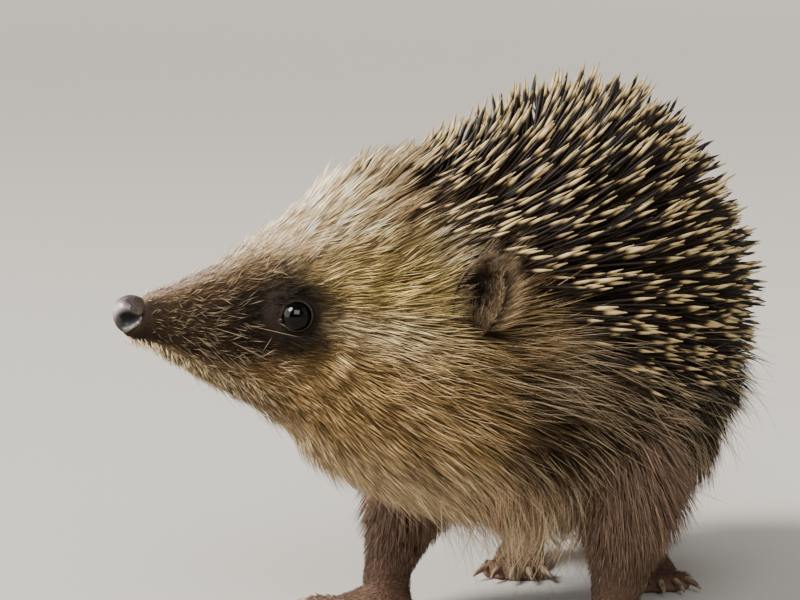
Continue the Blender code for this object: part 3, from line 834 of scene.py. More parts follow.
def claws(name):
    """The five claws of a foot, each curving down to a worn point."""
    joints, size, forwards, outwards = leg_facts(name)
    base = spot(joints[-1][0], joints[-1][1], 0)
    t = np.linspace(-0.25, 1, 9)
    drop = CLAW_RISE - CLAW_DROP * np.clip(t, 0, 1) ** 2
    radii = smooth_curve(CLAW_TAPER)(t)
    shells = []
    for way, root, length, claw in toe_places(size, forwards, outwards):
        centres = base + root + way * (length + claw * t)[:, None] + UP * drop[:, None]
        centres[:, 2] = np.maximum(centres[:, 2], radii)
        shells.append((*tube_shell(centres, radii, 10, (0.8, 1.0)), np.zeros(3)))
    points, triangles, _ = joined(shells)
    return mesh_from(f"claws_{name}", points, triangles)


def tail_shell():
    """The bare tail, which droops behind the rump."""
    rows = bent(TAIL, 16)
    centres = spot(rows[:, 0], np.zeros(len(rows)), rows[:, 1])
    return *tube_shell(centres, rows[:, 2], 18), linear("#4e3c30")


# --- Nose pad and eyeballs ---

NOSE_AT, NOSE_HEIGHT = 2.75, 67.15
NOSE_RADII = (3.3, 3.05, 3.75)
NOSTRIL = (-0.36, -0.20)  # its middle on the pad, back and up, as shares of the pad's radii


def ball_ways(rows, columns):
    """Directions from the middle of a ball to a grid of points on it, with its poles on the third axis."""
    turn = np.linspace(0, 2 * math.pi, columns, endpoint=False)
    t, p = grid_of(np.linspace(0.02, math.pi - 0.02, rows), turn)
    return np.sin(t) * np.cos(p), np.sin(t) * np.sin(p), np.cos(t)


def nose_mesh():
    """A wet pad with a comma-shaped nostril on each side, its raised rims and a groove down the middle."""
    rows, columns = 90, 128
    x, y, z = ball_ways(rows, columns)  # x runs back, y to the right, z up
    side = np.abs(y)
    front = smoothstep(-x, -0.3, 0.5)
    off_x, off_z = x - NOSTRIL[0], z - NOSTRIL[1]
    swell = 1 + 0.09 * np.exp(-(((z - 0.42) / 0.40) ** 2) - ((x + 0.70) / 0.5) ** 2)
    groove = np.exp(-((y / 0.10) ** 2)) * smoothstep(-z, -0.45, 0.4) * front * 0.13
    shape = (off_x / 0.60) ** 2 + ((off_z - 0.10 * off_x) / (0.43 - 0.22 * off_x)) ** 2
    hole = np.exp(-(shape**2.4)) * smoothstep(side, 0.16, 0.46)
    slit = np.exp(-(((x - 0.22) / 0.30) ** 2) - ((z + 0.12 - 0.30 * x) / 0.10) ** 2)
    slit = slit * smoothstep(side, 0.45, 0.75)
    low = 0.6 + 0.8 * smoothstep(-off_z, -0.1, 0.3)
    rim = np.exp(-(((np.sqrt(shape) / 1.22 - 1.0) / 0.17) ** 2)) * smoothstep(side, 0.25, 0.6) * low
    wing = np.exp(-(((x - 0.30) / 0.14) ** 2) - ((z - 0.02) / 0.40) ** 2) * smoothstep(side, 0.4, 0.8)
    radius = swell - groove - 0.62 * hole - 0.18 * slit + 0.05 * rim + 0.06 * wing
    back, right = ways(0)
    local = np.stack([x * NOSE_RADII[0], y * NOSE_RADII[1], z * NOSE_RADII[2]], 1) * radius[:, None]
    local[:, 0] *= 1 + 0.25 * (local[:, 0] > 0)
    points = spot(NOSE_AT, 0, NOSE_HEIGHT) + local[:, :1] * back + local[:, 1:2] * right + local[:, 2:] * UP
    # Painted light and shade: pale grey where it bulges in front and pale on the rims and the wing, painted
    # highlights of the wet gleam; brown behind; and black in the nostrils, the slit and the groove, painted
    # shade.
    # Painted highlight: the front bulge is coloured pale where the wet pad would gleam.
    painted_highlight = np.exp(-(((z - 0.38) / 0.46) ** 2) - ((x + 0.95) / 0.4) ** 2)
    # Painted shade: the nostrils' holes, the slit and the groove are coloured black, as shadow.
    dark = smoothstep(-shape, -1.5, -0.9) * smoothstep(side, 0.16, 0.46)
    colours = linear("#1f1714")
    for tone, share in (
        ("#93878a", painted_highlight),
        ("#4f443b", np.clip(rim * 0.6 + wing * 0.6, 0, 1)),
        ("#32271d", smoothstep(x, -0.1, 0.6)),
        ("#050302", np.clip(dark + slit * 0.8 + groove * 2, 0, 1)),
    ):
        colours = mixed(colours, linear(tone), share[:, None])
    colours = np.concatenate([colours, colours[:1], colours[-1:]])
    return mesh_from("nose", *closed_tube(points, columns), colours)


def eyeball_mesh(side, sign):
    """A round eye whose clear front bulges a little."""
    centre, look = eye_ways(sign)
    across = unit(np.cross(look, UP))
    other = np.cross(look, across)
    rows, columns = 40, 56
    x, y, z = ball_ways(rows, columns)
    radius = EYE_RADIUS * (0.985 + 0.035 * np.exp(-((np.arccos(z) / 0.75) ** 2)))
    points = centre + (x[:, None] * across + y[:, None] * other + z[:, None] * look) * radius[:, None]
    return mesh_from(f"eyeball_{side}", *closed_tube(points, columns))


def tear_corner_mesh(side, sign):
    """The small moist swelling in the corner of the eye towards the nose."""
    centre, look = eye_ways(sign)
    ahead = towards_nose(look)
    rise = np.cross(look, ahead)
    rows, columns = 16, 20
    x, y, z = ball_ways(rows, columns)
    middle = centre + ahead * 3.1 - UP * 0.55 + look * 0.95
    points = middle + (x * 0.75)[:, None] * ahead + (y * 0.42)[:, None] * rise + (z * 0.5)[:, None] * look
    points, triangles = closed_tube(points, columns)
    return mesh_from(f"tear_corner_{side}", points, triangles, np.tile(linear("#3b2118"), (len(points), 1)))


# --- Fur ---

PATCH = 0.003  # how wide a strand's patch is on the bake map
MAP_EDGE, MAP_SPAN, MAP_LENGTH = 0.02, 0.95, 195  # the map's margin, the width in use, and its length in mm
# Along the body: distance from the nose, length of the hairs, width, spacing, in mm.
FUR = (
    (3.0, 0.9, 0.09, 0.36),
    (12, 2.3, 0.10, 0.37),
    (20, 3.3, 0.105, 0.39),
    (27, 3.8, 0.105, 0.41),
    (34, 5.6, 0.11, 0.43),
    (43, 8.6, 0.125, 0.47),
    (54, 11.5, 0.14, 0.52),
    (66, 13.5, 0.155, 0.56),
    (82, 15.5, 0.18, 0.58),
    (102, 17.0, 0.21, 0.60),
    (150, 16.0, 0.22, 0.64),
    (182, 12.0, 0.22, 0.68),
)
hair_length, hair_width, hair_spacing = profiles(FUR)
MUZZLE_REACH = (5.6, 30)
# The coat behind the muzzle: where each part begins and ends, its tufts' width, its share of guard hairs.
COAT_PARTS = {
    "face": (30, 66, 2.2, 0.1),
    "neck": (66, 96, 3.0, 0.22),
    "flank": (96, 171, 3.4, 0.18),
}
BARE_ROUND_EYE = 3.7  # how far from the middle of an eye the hair begins


def ring_places(rng, at, spacing, loose_along, loose_round):
    """Jittered places round the skin at one distance from the nose: their distances and angles."""
    angle = np.linspace(0, 2 * math.pi, 181)
    ring = on_form(np.full(len(angle), at), angle, 1)
    length = np.concatenate([[0], np.cumsum(np.linalg.norm(np.diff(ring, axis=0), axis=1))])
    count = max(int(length[-1] / spacing), 3)
    stops = np.arange(count) + rng.random() + rng.uniform(-loose_round, loose_round, count)
    stops = stops * length[-1] / count % length[-1]
    along = at + rng.uniform(-loose_along, loose_along, count) * spacing
    return np.stack([along, np.interp(stops, length, angle)], 1)


def scatter(rng, start, end):
    """Even but jittered places over the skin: distances from the nose, and angles all the way round."""
    places = []
    at = start
    while at < end:
        gap = float(hair_spacing(at))
        places.append(ring_places(rng, at, gap, 0.5, 0.5))
        at += gap
    return np.concatenate(places).T


def bake_place(along, angle):
    """Where a place on the trunk lies on an unwrap of the skin."""
    full = 2 * math.pi
    across = MAP_EDGE + MAP_SPAN * (angle % full) / full
    return np.stack([MAP_EDGE + MAP_SPAN * along / MAP_LENGTH, across], 1)


def strand_faces(rings):
    """The triangles of one strand, and the places of their corners in its patch of the bake map."""
    faces, corners = [(0, 2, 1)], [((0.1, 0.0), (0.9, 0.0), (0.5, 0.1))]
    for r in range(rings - 1):
        for k in range(3):
            a, b = r * 3 + k, r * 3 + (k + 1) % 3
            u0, u1, v0, v1 = k / 3, (k + 1) / 3, r / rings, (r + 1) / rings
            faces += [(a, b, a + 3), (b, b + 3, a + 3)]
            corners += [((u0, v0), (u1, v0), (u0, v1)), ((u1, v0), (u1, v1), (u0, v1))]
    r = rings - 1
    for k in range(3):
        faces.append((r * 3 + k, r * 3 + (k + 1) % 3, rings * 3))
        corners.append(((k / 3, r / rings), ((k + 1) / 3, r / rings), ((k + 0.5) / 3, 1.0)))
    return np.array(faces), np.array(corners)


def strand_arrays(roots, knees, tips, widths, rings, root_colours, tip_colours, homes):
    """Closed three-sided strands along bent lines: points, triangles, colours and a UV for each corner."""
    count = len(roots)
    t = np.linspace(0, 1, rings + 1)
    line = (
        roots[:, None] * ((1 - t) ** 2)[:, None]
        + knees[:, None] * (2 * t * (1 - t))[:, None]
        + tips[:, None] * (t * t)[:, None]
    )
    ahead = unit(np.gradient(line, axis=1))
    side = unit(np.cross(ahead, UP + 0.013))  # a little off upright, so that no strand runs along it
    other = np.cross(ahead, side)
    widths = np.broadcast_to(widths, count)[:, None]
    thick = widths / 2 * (0.75 + 0.5 * np.sin(t * math.pi) ** 0.8) * np.clip(1 - t, 0, 1) ** 0.35
    turn = np.array([0, 2, 4]) * math.pi / 3
    ring = side[:, :, None] * np.cos(turn)[:, None] + other[:, :, None] * np.sin(turn)[:, None]
    body = (line[:, :, None] + ring * thick[:, :, None, None])[:, :rings].reshape(count, rings * 3, 3)
    points = np.concatenate([body, line[:, rings:]], 1)
    faces, corners = strand_faces(rings)
    triangles = np.arange(count)[:, None, None] * points.shape[1] + faces
    mix = smoothstep(np.concatenate([np.repeat(t[:rings], 3), [1.0]]), 0.1, 0.8)[:, None]
    root_colours = np.broadcast_to(root_colours, (count, 3))[:, None]
    colours = root_colours * (1 - mix) + tip_colours[:, None] * mix
    uv = homes[:, None, None] + corners * PATCH
    return points.reshape(-1, 3), triangles.reshape(-1, 3), colours.reshape(-1, 3), uv.reshape(-1, 2)


def cell_of(rng, s, a, size):
    """Gathers places into tufts: the number of the nearest of many scattered tuft middles."""
    radius = (half_width(s) + 20) / 1.6  # about that of the section, so that tufts come out round
    x, y = s / size, a * radius / size
    base_x, base_y = np.floor(x).astype(int), np.floor(y).astype(int)
    size_of_table = 400
    table = rng.random((size_of_table, size_of_table, 2))
    best = np.full(len(s), 9e9)
    number = np.zeros(len(s), int)
    for i in (-1, 0, 1):
        for j in (-1, 0, 1):
            cx, cy = base_x + i, base_y + j
            jitter = table[cx % size_of_table, cy % size_of_table]
            away = (x - cx - jitter[:, 0]) ** 2 + (y - cy - jitter[:, 1]) ** 2
            nearer = away < best
            best = np.where(nearer, away, best)
            number = np.where(nearer, (cx % 4096) * 4096 + cy % 4096, number)
    return np.unique(number, return_inverse=True)[1].reshape(-1)


def tuft_mean(values, tuft, count):
    """The mean of these vectors over each tuft, given back for each strand."""
    total = np.stack([np.bincount(tuft, values[:, i], count) for i in range(values.shape[1])], 1)
    return (total / np.maximum(np.bincount(tuft, minlength=count), 1)[:, None])[tuft]


def lie(s, a):
    """The way the fur lies: back along the body, turned down on the flanks and inwards under the throat."""
    normal, tailward = skin_ways(s, a)
    crest = from_crest(a)
    down = unit(-UP + normal * normal[:, 2:3])
    turn = np.radians(  # on the flank, the chest, the cheek and the temple, in degrees
        30 * smoothstep(s, 62, 95) * smoothstep(crest, 70, 105) * (1 - smoothstep(crest, 150, 176))
        + 50 * smoothstep(s, 52, 74) * (1 - 0.5 * smoothstep(s, 96, 125))
        * smoothstep(crest, 108, 142) * (1 - smoothstep(crest, 158, 178))
        + 16 * smoothstep(s, 36, 50) * smoothstep(crest, 105, 130) * (1 - smoothstep(crest, 150, 172))
        - 34 * smoothstep(s, 36, 54) * (1 - smoothstep(crest, 60, 86)) * smoothstep(crest, 16, 48)
    )  # fmt: skip
    return normal, unit(turned_towards(tailward, down, turn))


def beside_ear(s, a):
    """How much each place lies in the band of heights that the ears' hollows open on, from 0 to 1."""
    height = on_form(s, a, 1)[:, 2] - EAR_HEIGHT
    return smoothstep(height, -3, 0) * (1 - smoothstep(height, 6, 10))


def behind_ear(s, a):
    """Which places lie between an ear's leaf and the head, where hairs would grow through it."""
    return (np.abs(s - EAR_AT - 0.4) < 3.9) & (beside_ear(s, a) > 0.8)


def furred(s, a, ragged):
    """Which places carry fur: those outside the mantle, and some way into it, most at the crest."""
    crest = from_crest(a)
    reach = 60 - 13 * smoothstep(crest, 12, 24) * (1 - smoothstep(crest, 40, 52))
    reach = reach + 6 * (1 - smoothstep(crest, 5, 15))
    reach = reach + 3 * smoothstep(crest, 44, 54)
    return crest + ragged > 90 - mantle_edge(s) - 5 - 40 * (1 - smoothstep(s, reach - 8, reach + 6))


def hair_lengths(rng, s, a, tuft, length_scale):
    """How long each hair is: longer under the throat and on the crown, and short in front of an ear."""
    crest, count = from_crest(a), len(s)
    length = hair_length(s) * length_scale * rng.uniform(0.72, 1.15, count)
    length *= rng.normal(1, 0.08, tuft.max() + 1)[tuft]
    length *= 1 + 0.35 * smoothstep(crest, 120, 165) * (1 - smoothstep(s, 26, 44))
    length *= 1 + 0.14 * (1 - smoothstep(crest, 20, 50)) * smoothstep(s, 34, 44)
    room = np.clip((EAR_AT - s) * 1.05 + rng.uniform(1.5, 6.5, count), 1.5, 99)
    before_ear = beside_ear(s, a) * (s < EAR_AT)
    return length + (np.minimum(length, room) - length) * before_ear


def hair_lifts(rng, s, a, tuft):
    """How steeply each hair leaves the skin, so that its tip comes to where the coat ends."""
    crest = from_crest(a)
    depth = depth_side(s) + (depth_under(s) - depth_side(s)) * smoothstep(crest, 100, 160)
    depth = depth + (np.minimum(depth_top(s), 9) - depth) * (1 - smoothstep(crest, 25, 60))
    lift = np.clip(depth / hair_length(s) * 1.18, 0.06, 0.95) + rng.normal(0, 0.07, len(s))
    crown = 0.26 * (1 - smoothstep(crest, 12, 45)) * smoothstep(s, 34, 46)
    return lift + (rng.normal(0, 0.08, tuft.max() + 1)[tuft] + crown)


def hair_colours(rng, s, a, tuft, pale):
    """Root and tip colours, uneven from tuft to tuft, with dark hairs among the pale ones."""
    crest, count = from_crest(a), len(s)
    root, tip = markings(s, a)
    upper = (1 - smoothstep(crest, 50, 80)) * (1 - smoothstep(s, 56, 70))
    uneven = 0.55 - 0.33 * smoothstep(s, 24, 36) + 0.18 * upper * smoothstep(s, 24, 36)
    bright = rng.normal(0, 0.3 + 0.15 * upper, count) + rng.normal(0, 1, tuft.max() + 1)[tuft] * uneven
    bright = np.exp(bright)[:, None]
    darker = 0.32 + 0.12 * (1 - smoothstep(s, 22, 32)) * smoothstep(crest, 40, 60)
    darker += 0.18 * smoothstep(s, 36, 50) * (1 - smoothstep(crest, 60, 90))
    darker -= 0.18 * (1 - smoothstep(crest, 28, 52)) * (1 - smoothstep(s, 38, 50))
    darker += 0.14 * smoothstep(s, 43, 53) * smoothstep(crest, 12, 24) * (1 - smoothstep(crest, 44, 60))
    dark = rng.random(count) < darker
    tip = tip * bright
    washed = 0.5 * np.clip(bright - 1, 0, 1)
    tip += (linear("#ffdcae") * tip.max(1, keepdims=True) - tip) * washed
    tip = tip + (root - tip) * (dark * 0.85)[:, None]
    tip = tip + (linear("#dac29c") - tip) * pale
    return root * 0.9, np.clip(tip, 0, 1)


def fur_strands(
    rng, s, a, rings, tuft_width, length_scale=1.0, width_scale=1.0, pale=0.0, wild=1.0, gathered=0.0
):  # fmt: skip
    """Fur at these places, as strand arrays: the hairs of a tuft lie alike, and their tips draw together."""
    normal, way = lie(s, a)
    crest, count = from_crest(a), len(s)
    tuft = cell_of(rng, s, a, tuft_width)
    tufts = tuft.max() + 1
    wander = wild * (14 - 6 * smoothstep(s, 26, 44) + 7 * smoothstep(s, 75, 110))
    tuft_turn = np.radians(rng.normal(0, 1, tufts)[tuft] + rng.normal(0, 0.6, count)) * wander
    way = unit(turned_towards(way, np.cross(normal, way), tuft_turn))
    length = hair_lengths(rng, s, a, tuft, length_scale)
    lift = hair_lifts(rng, s, a, tuft)
    roots = on_form(s, a, 1) - normal * 0.25
    for _, sign in SIDES:
        roots = mound_round_eye(roots, sign)
    sag = 0.16 * smoothstep(s, 45, 90) + 0.14 * smoothstep(s, 60, 85) * smoothstep(crest, 115, 140)
    knees = roots + turned_towards(way, normal, lift * 1.25) * (length * 0.45)[:, None]
    finish = turned_towards(way, normal, lift * 0.62)
    tips = knees + unit(finish - UP * sag[:, None]) * (length * 0.55)[:, None]
    crown = smoothstep(s, 38, 46) * (1 - smoothstep(crest, 20, 34))
    gather = 0.2 + 0.2 * smoothstep(s, 60, 95) + 0.45 * crown + gathered
    gather += 0.35 * smoothstep(s, 44, 60) * smoothstep(crest, 126, 146)
    tips += (tuft_mean(tips, tuft, tufts) - tips) * (gather * rng.uniform(0.7, 1.1, count))[:, None]
    knees += (tuft_mean(knees, tuft, tufts) - knees) * (gather * 0.35)[:, None]
    root_colours, tip_colours = hair_colours(rng, s, a, tuft, pale)
    widths = hair_width(s) * width_scale * rng.uniform(0.8, 1.2, count)
    return strand_arrays(roots, knees, tips, widths, rings, root_colours, tip_colours, bake_place(s, a))


def coat_piece(name, parts, material):
    """One piece of the coat from several sets of strand arrays."""
    points, triangles, colours = joined([part[:3] for part in parts])
    mesh = mesh_from(name, points, triangles, colours, np.concatenate([part[3] for part in parts]))
    print(f"{name}: {len(mesh.polygons)} triangles")
    add_piece(name, mesh, material)


def on_side(a, sign):
    """Which angles are on the right side of the body for a sign of 1, or on the left for -1."""
    return np.cos(a) * sign > 0


def muzzle_strands(rng):
    """The short hairs of the muzzle, with longer pale ones among them outside the dark mask."""
    s, a = scatter(rng, *MUZZLE_REACH)
    keep = from_eyes(s, a) > BARE_ROUND_EYE
    s, a = s[keep], a[keep]
    crest = from_crest(a)
    masked = smoothstep(s, 18, 24) * (1 - smoothstep(crest, 96, 112)) * smoothstep(crest, 50, 66)
    longer = (rng.random(len(s)) < 0.2 * (1 - 0.8 * masked)) & (from_eyes(s, a) > 8)
    strands = [fur_strands(rng, s, a, 2, 0.95)]
    s, a = s[longer], a[longer]
    strands.append(fur_strands(rng, s, a, 3, 1.1, 1.45, 1.25, pale=0.26, wild=1.5, gathered=0.5))
    return strands


def side_strands(rng, s, a, tuft_width, guards):
    """The fur of one side, with longer, finer guard hairs low on the body and behind the ear."""
    crest = from_crest(a)
    strands = [fur_strands(rng, s, a, 3, tuft_width)]
    behind = smoothstep(s, 62, 66) * (1 - smoothstep(s, 76, 84)) * smoothstep(crest, 76, 82)
    behind *= 1 - smoothstep(crest, 100, 110)
    guard = (rng.random(len(s)) < guards * (s > 44) + 0.2 * behind) & (crest > 74)
    s, a, crest = s[guard], a[guard], crest[guard]
    hanging = 1.3 + 0.35 * smoothstep(crest, 128, 145) * smoothstep(s, 62, 72)
    strands.append(fur_strands(rng, s, a, 4, 1.5, hanging, 0.62, pale=0.62, wild=1.5))
    return strands


def build_fur(material):
    """The coat of head and trunk: one piece on the muzzle, and behind it one on each side of each part."""
    rng = np.random.default_rng(FUR_SEED)
    coat_piece("fur_muzzle", muzzle_strands(rng), material)
    for part, (start, end, tuft_width, guards) in COAT_PARTS.items():
        s, a = scatter(rng, start, end)
        keep = (from_eyes(s, a) > BARE_ROUND_EYE) & ~behind_ear(s, a)
        keep &= furred(s, a, rng.normal(0, 8, len(s)))
        s, a = s[keep], a[keep]
        for side, sign in SIDES:
            here = on_side(a, sign)
            strands = side_strands(rng, s[here], a[here], tuft_width, guards)
            coat_piece(f"fur_{part}_{side}", strands, material)


def surface_roots(rng, shell, per_mm2, keep):
    """Random places on a shell, with their normals, where keep says so."""
    points, triangles, _ = shell
    a, b, c = (points[triangles[:, i]] for i in range(3))
    cross = np.cross(b - a, c - a)
    area = np.linalg.norm(cross, axis=1) / 2
    chosen = rng.choice(len(triangles), int(area.sum() * per_mm2), p=area / area.sum())
    u, v = rng.random((2, len(chosen)))
    flip = u + v > 1
    u, v = np.where(flip, 1 - u, u), np.where(flip, 1 - v, v)
    places = a[chosen] + (b - a)[chosen] * u[:, None] + (c - a)[chosen] * v[:, None]
    normal = unit(cross[chosen])
    kept = keep(places, normal)
    return places[kept], normal[kept]


def within_trunk(points):
    """Which points lie inside the skin of the trunk."""
    line = spot(LINE_AT, 0, 0)[:, :2]
    nearest = np.concatenate([
        np.argmin(((part[:, None, :2] - line[None]) ** 2).sum(-1), axis=1)
        for part in np.array_split(points, max(len(points) // 4000, 1))
    ])  # fmt: skip
    s = LINE_AT[nearest]
    beside = (points[:, :2] - line[nearest]) * ways(s)[1][:, :2]
    across = np.abs(beside.sum(1)) / (half_width(s) - depth_side(s))
    up = points[:, 2] - widest(s)
    reach = np.where(up > 0, top(s) - widest(s) - depth_top(s), widest(s) - underside(s) - depth_under(s))
    return across**2 + (up / reach) ** 2 < 1


def limb_fur(rng, shell, name):
    """Fur down the leg, long at the shoulder and the thigh and short over the top of the foot."""
    _, _, forwards, _ = leg_facts(name)

    def haired(places, normals):
        """Off the sole, outside the trunk, and thinner up the leg, where the hairs are longer."""
        thinned = rng.random(len(places)) < 1 - 0.62 * smoothstep(places[:, 2], 9, 20)
        return (places[:, 2] > 2.2) & (normals[:, 2] > -0.6) & ~within_trunk(places) & thinned

    roots, normal = surface_roots(rng, shell, 6.0, haired)
    count, height = len(roots), roots[:, 2]
    on_foot = 1 - smoothstep(height, 6.5, 11)
    way = -UP * (1 - on_foot)[:, None] + forwards * (0.25 + on_foot)[:, None]
    way = way - forwards * (0.45 * smoothstep(height, 12, 30))[:, None]
    way = unit(way - normal * np.einsum("ij,ij->i", way, normal)[:, None])
    way = turned_towards(way, np.cross(normal, way), rng.normal(0, 0.14, count))
    length = (1.5 + 11 * smoothstep(height, 8, 36)) * rng.uniform(0.7, 1.15, count)
    lift = 0.30 + rng.normal(0, 0.08, count) + 0.10 * smoothstep(height, 8, 25)
    knees = roots + turned_towards(way, normal, lift * 1.3) * (length * 0.45)[:, None]
    tips = knees + turned_towards(way, normal, lift * 0.5) * (length * 0.55)[:, None]
    tips[:, 2] = np.maximum(tips[:, 2], 0.15)
    bright = np.exp(rng.normal(0, 0.36, count))[:, None]
    colour = mixed(linear("#685447"), linear("#806857"), smoothstep(height, 4, 26)[:, None]) * bright
    turn = np.arctan2(normal[:, 1], normal[:, 0]) / (2 * math.pi) + 0.5
    number = list(LEGS).index(name)
    places = np.stack([(number + 0.04 + 0.9 * turn) / len(LEGS), 0.02 + 0.95 * height / 60], 1)
    return strand_arrays(
        roots - normal * 0.15, knees, tips, 0.10 + 0.10 * smoothstep(height, 5, 25), 2,
        linear("#2c2017"), np.clip(colour, 0, 1), places,
    )  # fmt: skip


def tail_fur(rng, shell):
    """Short dark hairs that lie along the tail."""
    roots, normal = surface_roots(rng, shell, 7, lambda places, _: ~within_trunk(places))
    way = unit(ways(TAIL[-1][0])[0] - UP * 0.25)
    way = unit(way - normal * (normal @ way)[:, None] + rng.normal(0, 0.12, normal.shape))
    count = len(roots)
    length = rng.uniform(2.2, 4.2, count)[:, None]
    knees = roots + unit(way + normal * 0.45) * length * 0.45
    tips = knees + unit(way + normal * 0.12) * length * 0.55
    colour = linear("#6b5642") * np.exp(rng.normal(0, 0.35, count))[:, None]
    turn = np.arctan2(normal[:, 2], normal[:, 1]) / (2 * math.pi) + 0.5
    places = np.stack([0.02 + 0.9 * turn, 0.02 + 0.9 * (roots[:, 0] - roots[:, 0].min()) / 40], 1)
    return strand_arrays(
        roots - normal * 0.1, knees, tips, 0.12, 2, linear("#1d140d"), np.clip(colour, 0, 1), places
    )  # fmt: skip


# How many, where across the leaf and up it, which face, length, turn towards the rim, tone.
EAR_HAIRS = {
    # The hairs of the hollow, its inner wall and inside the tip get low tones: painted shade of the cupped
    # ear.
    "inner_wall": (560, (0.0, 1.0), (0.0, 0.95), 1, 2.4, 0.35, 0.12),
    "hollow": (220, (-0.7, 0.2), (0.1, 0.8), 1, 1.6, 0.2, 0.03),
    "back": (760, (-1.0, 1.0), (0.0, 0.98), -1, 3.6, 0.35, 0.20),
    "rear_rim": (560, (0.86, 1.0), (0.0, 0.95), -1, 4.2, 0.6, 0.36),
    "front_rim": (420, (-1.0, -0.86), (0.0, 0.98), -1, 2.2, 0.5, 0.42),
    "over_hollow": (260, (-1.0, -0.8), (0.0, 0.45), 1, 4.2, -1.5, 0.42),
    "front_wisps": (70, (-1.0, -0.9), (0.3, 0.92), 1, 2.4, -1.6, 0.85),
    "over_rim": (360, (0.8, 1.0), (0.1, 0.98), 1, 2.6, 1.2, 0.33),
    "low_rim": (170, (0.8, 1.0), (0.0, 0.6), -1, 6.5, 0.6, 0.95),
    "tip": (420, (-0.8, 1.0), (0.9, 1.0), -1, 2.8, 0.3, 0.26),
    "in_tip": (320, (-0.8, 0.8), (0.74, 0.98), 1, 2.2, 0.4, 0.13),
    "root": (420, (-1.0, 1.0), (-0.1, 0.16), 1, 4.2, 0.1, 0.22),
}


def ear_fur(rng, sign):
    """Fine hairs over both faces of the ear and its rim. Across the leaf, 1 is the rear rim."""
    _, facing, _, _ = ear_ways(sign)
    back, _ = ways(EAR_AT)
    parts = []
    for many, across, up_leaf, face, long, outward, tone in EAR_HAIRS.values():
        rear, v = rng.uniform(*across, many), rng.uniform(*up_leaf, many)
        u = -sign * rear
        roots = ear_sheet(sign, u, v, face * EAR_THICKNESS / 2)
        du = ear_sheet(sign, u + 0.02, v) - ear_sheet(sign, u - 0.02, v)
        dv = ear_sheet(sign, u, v + 0.02) - ear_sheet(sign, u, v - 0.02)
        normal = unit(np.cross(du, dv))
        normal *= np.sign(normal @ facing)[:, None] * face
        rimward = unit(du) * np.sign(u)[:, None]
        way = unit(unit(dv) + rimward * outward + back * 0.75 * (face < 0) + rng.normal(0, 0.2, (many, 3)))
        length = long * rng.uniform(0.5, 1.25, many)
        lift = 0.26 + rng.normal(0, 0.14, many)
        half = (length * 0.5)[:, None]
        knees = roots + turned_towards(way, normal, lift) * half
        tips = knees + turned_towards(way, normal, lift * 0.5) * half
        colour = linear("#bda07a") * (tone * np.exp(rng.normal(0, 0.38, many)))[:, None]
        places = np.stack([0.25 + 0.25 * sign + 0.2 * (u + 1) / 2, 0.15 + 0.8 * v], 1)
        parts.append(
            strand_arrays(roots, knees, tips, 0.085, 2, linear("#1c130a"), np.clip(colour, 0, 1), places)
        )
    return parts


def fringe_strands(rng):
    """Short pale hairs that hang from the lips and the chin, with a few long ones under the jaw."""
    count = 520
    s = rng.uniform(1.9, 27, count)
    sign = np.where(rng.random(count) < 0.5, -1, 1)
    crest = rng.uniform(138, 178, count)
    long = (rng.random(count) < 0.025) & (s > 15)
    a = np.radians(90 - sign * crest)
    normal, tailward = skin_ways(s, a)
    way = normal * 0.5 - UP * 0.6 + tailward * (0.15 + 0.02 * s)[:, None]
    way = unit(way + rng.normal(0, 0.16, (count, 3)))
    length = np.where(long, 6.0, 1.5 + 0.04 * s) * rng.uniform(0.7, 1.3, count)
    roots = on_form(s, a, 1)
    knees = roots + way * (length * 0.5)[:, None]
    tips = knees + unit(way + tailward * 0.5 - UP * 0.1) * (length * 0.5)[:, None]
    colour = linear("#d9c29a") * np.exp(rng.normal(0, 0.25, count))[:, None]
    return strand_arrays(
        roots, knees, tips, np.where(long, 0.07, 0.11), 3,
        colour * 0.6, np.clip(colour, 0, 1), bake_place(s, a),
    )  # fmt: skip


def whisker_strands(rng):
    """Stiff whiskers in four rows on each lip, longer towards the cheek, some dark and some pale."""
    roots, knees, tips, places = [], [], [], []
    for _, sign in SIDES:
        for row, crest in enumerate((92, 104, 116, 128)):
            for step in range(5):
                s = np.array([11 + step * 3.0 + rng.uniform(-0.4, 0.4)])
                a = np.radians([90 - sign * (crest + rng.uniform(-3, 3))])
                normal, tailward = (v[0] for v in skin_ways(s, a))
                way = unit(normal * 0.75 + tailward * 0.75 - UP * (0.10 + 0.08 * row))
                length = (4 + step * 2.2) * rng.uniform(0.8, 1.1)
                root = on_form(s, a, 1)[0]
                roots.append(root)
                knees.append(root + way * length * 0.55)
                tips.append(root + unit(way + tailward * 0.4 - UP * 0.12) * length)
                places.append(bake_place(s, a)[0])
    roots, knees, tips, places = (np.array(rows) for rows in (roots, knees, tips, places))
    dark = (rng.random(len(roots)) < 0.55)[:, None]
    colour = np.where(dark, linear("#1d150f"), linear("#8f7b62"))
    return strand_arrays(roots, knees, tips, 0.08, 6, colour * 0.6, colour, places)


# --- Spines ---

MANTLE_FRONT, SPINE_SPACING = 45.0, 2.1
# Distance from the nose, then the length in mm or the lift from the skin in degrees.
SPINE_LENGTH = ((44, 9.5), (51, 12.5), (60, 15.5), (75, 18), (110, 19.5), (145, 18.5), (165, 16), (180, 14))
SPINE_LIFT = ((44, 38), (58, 41), (75, 38), (100, 31), (150, 28), (176, 32))
SPINE_RADIUS = 0.43
# Share of the spine's length, share of its radius.
SPINE_TAPER = ((0, 0.45), (0.17, 0.70), (0.5, 0.92), (0.72, 1.0), (0.87, 0.90), (1, 0.20))
spine_length = smooth_curve(SPINE_LENGTH)
spine_lift = smooth_curve(SPINE_LIFT)


def spine_roots(rng):
    """Where the spines grow: rows of jittered places inside the mantle's edge."""
    rows = []
    at = MANTLE_FRONT
    while at < SKIN_END - 0.5:
        rows.append(ring_places(rng, at, SPINE_SPACING, 0.35, 0.32))
        at += SPINE_SPACING * 0.9
    s, a = np.concatenate(rows).T
    inside = from_crest(a) < 90 - mantle_edge(s) + 1
    return s[inside], a[inside]


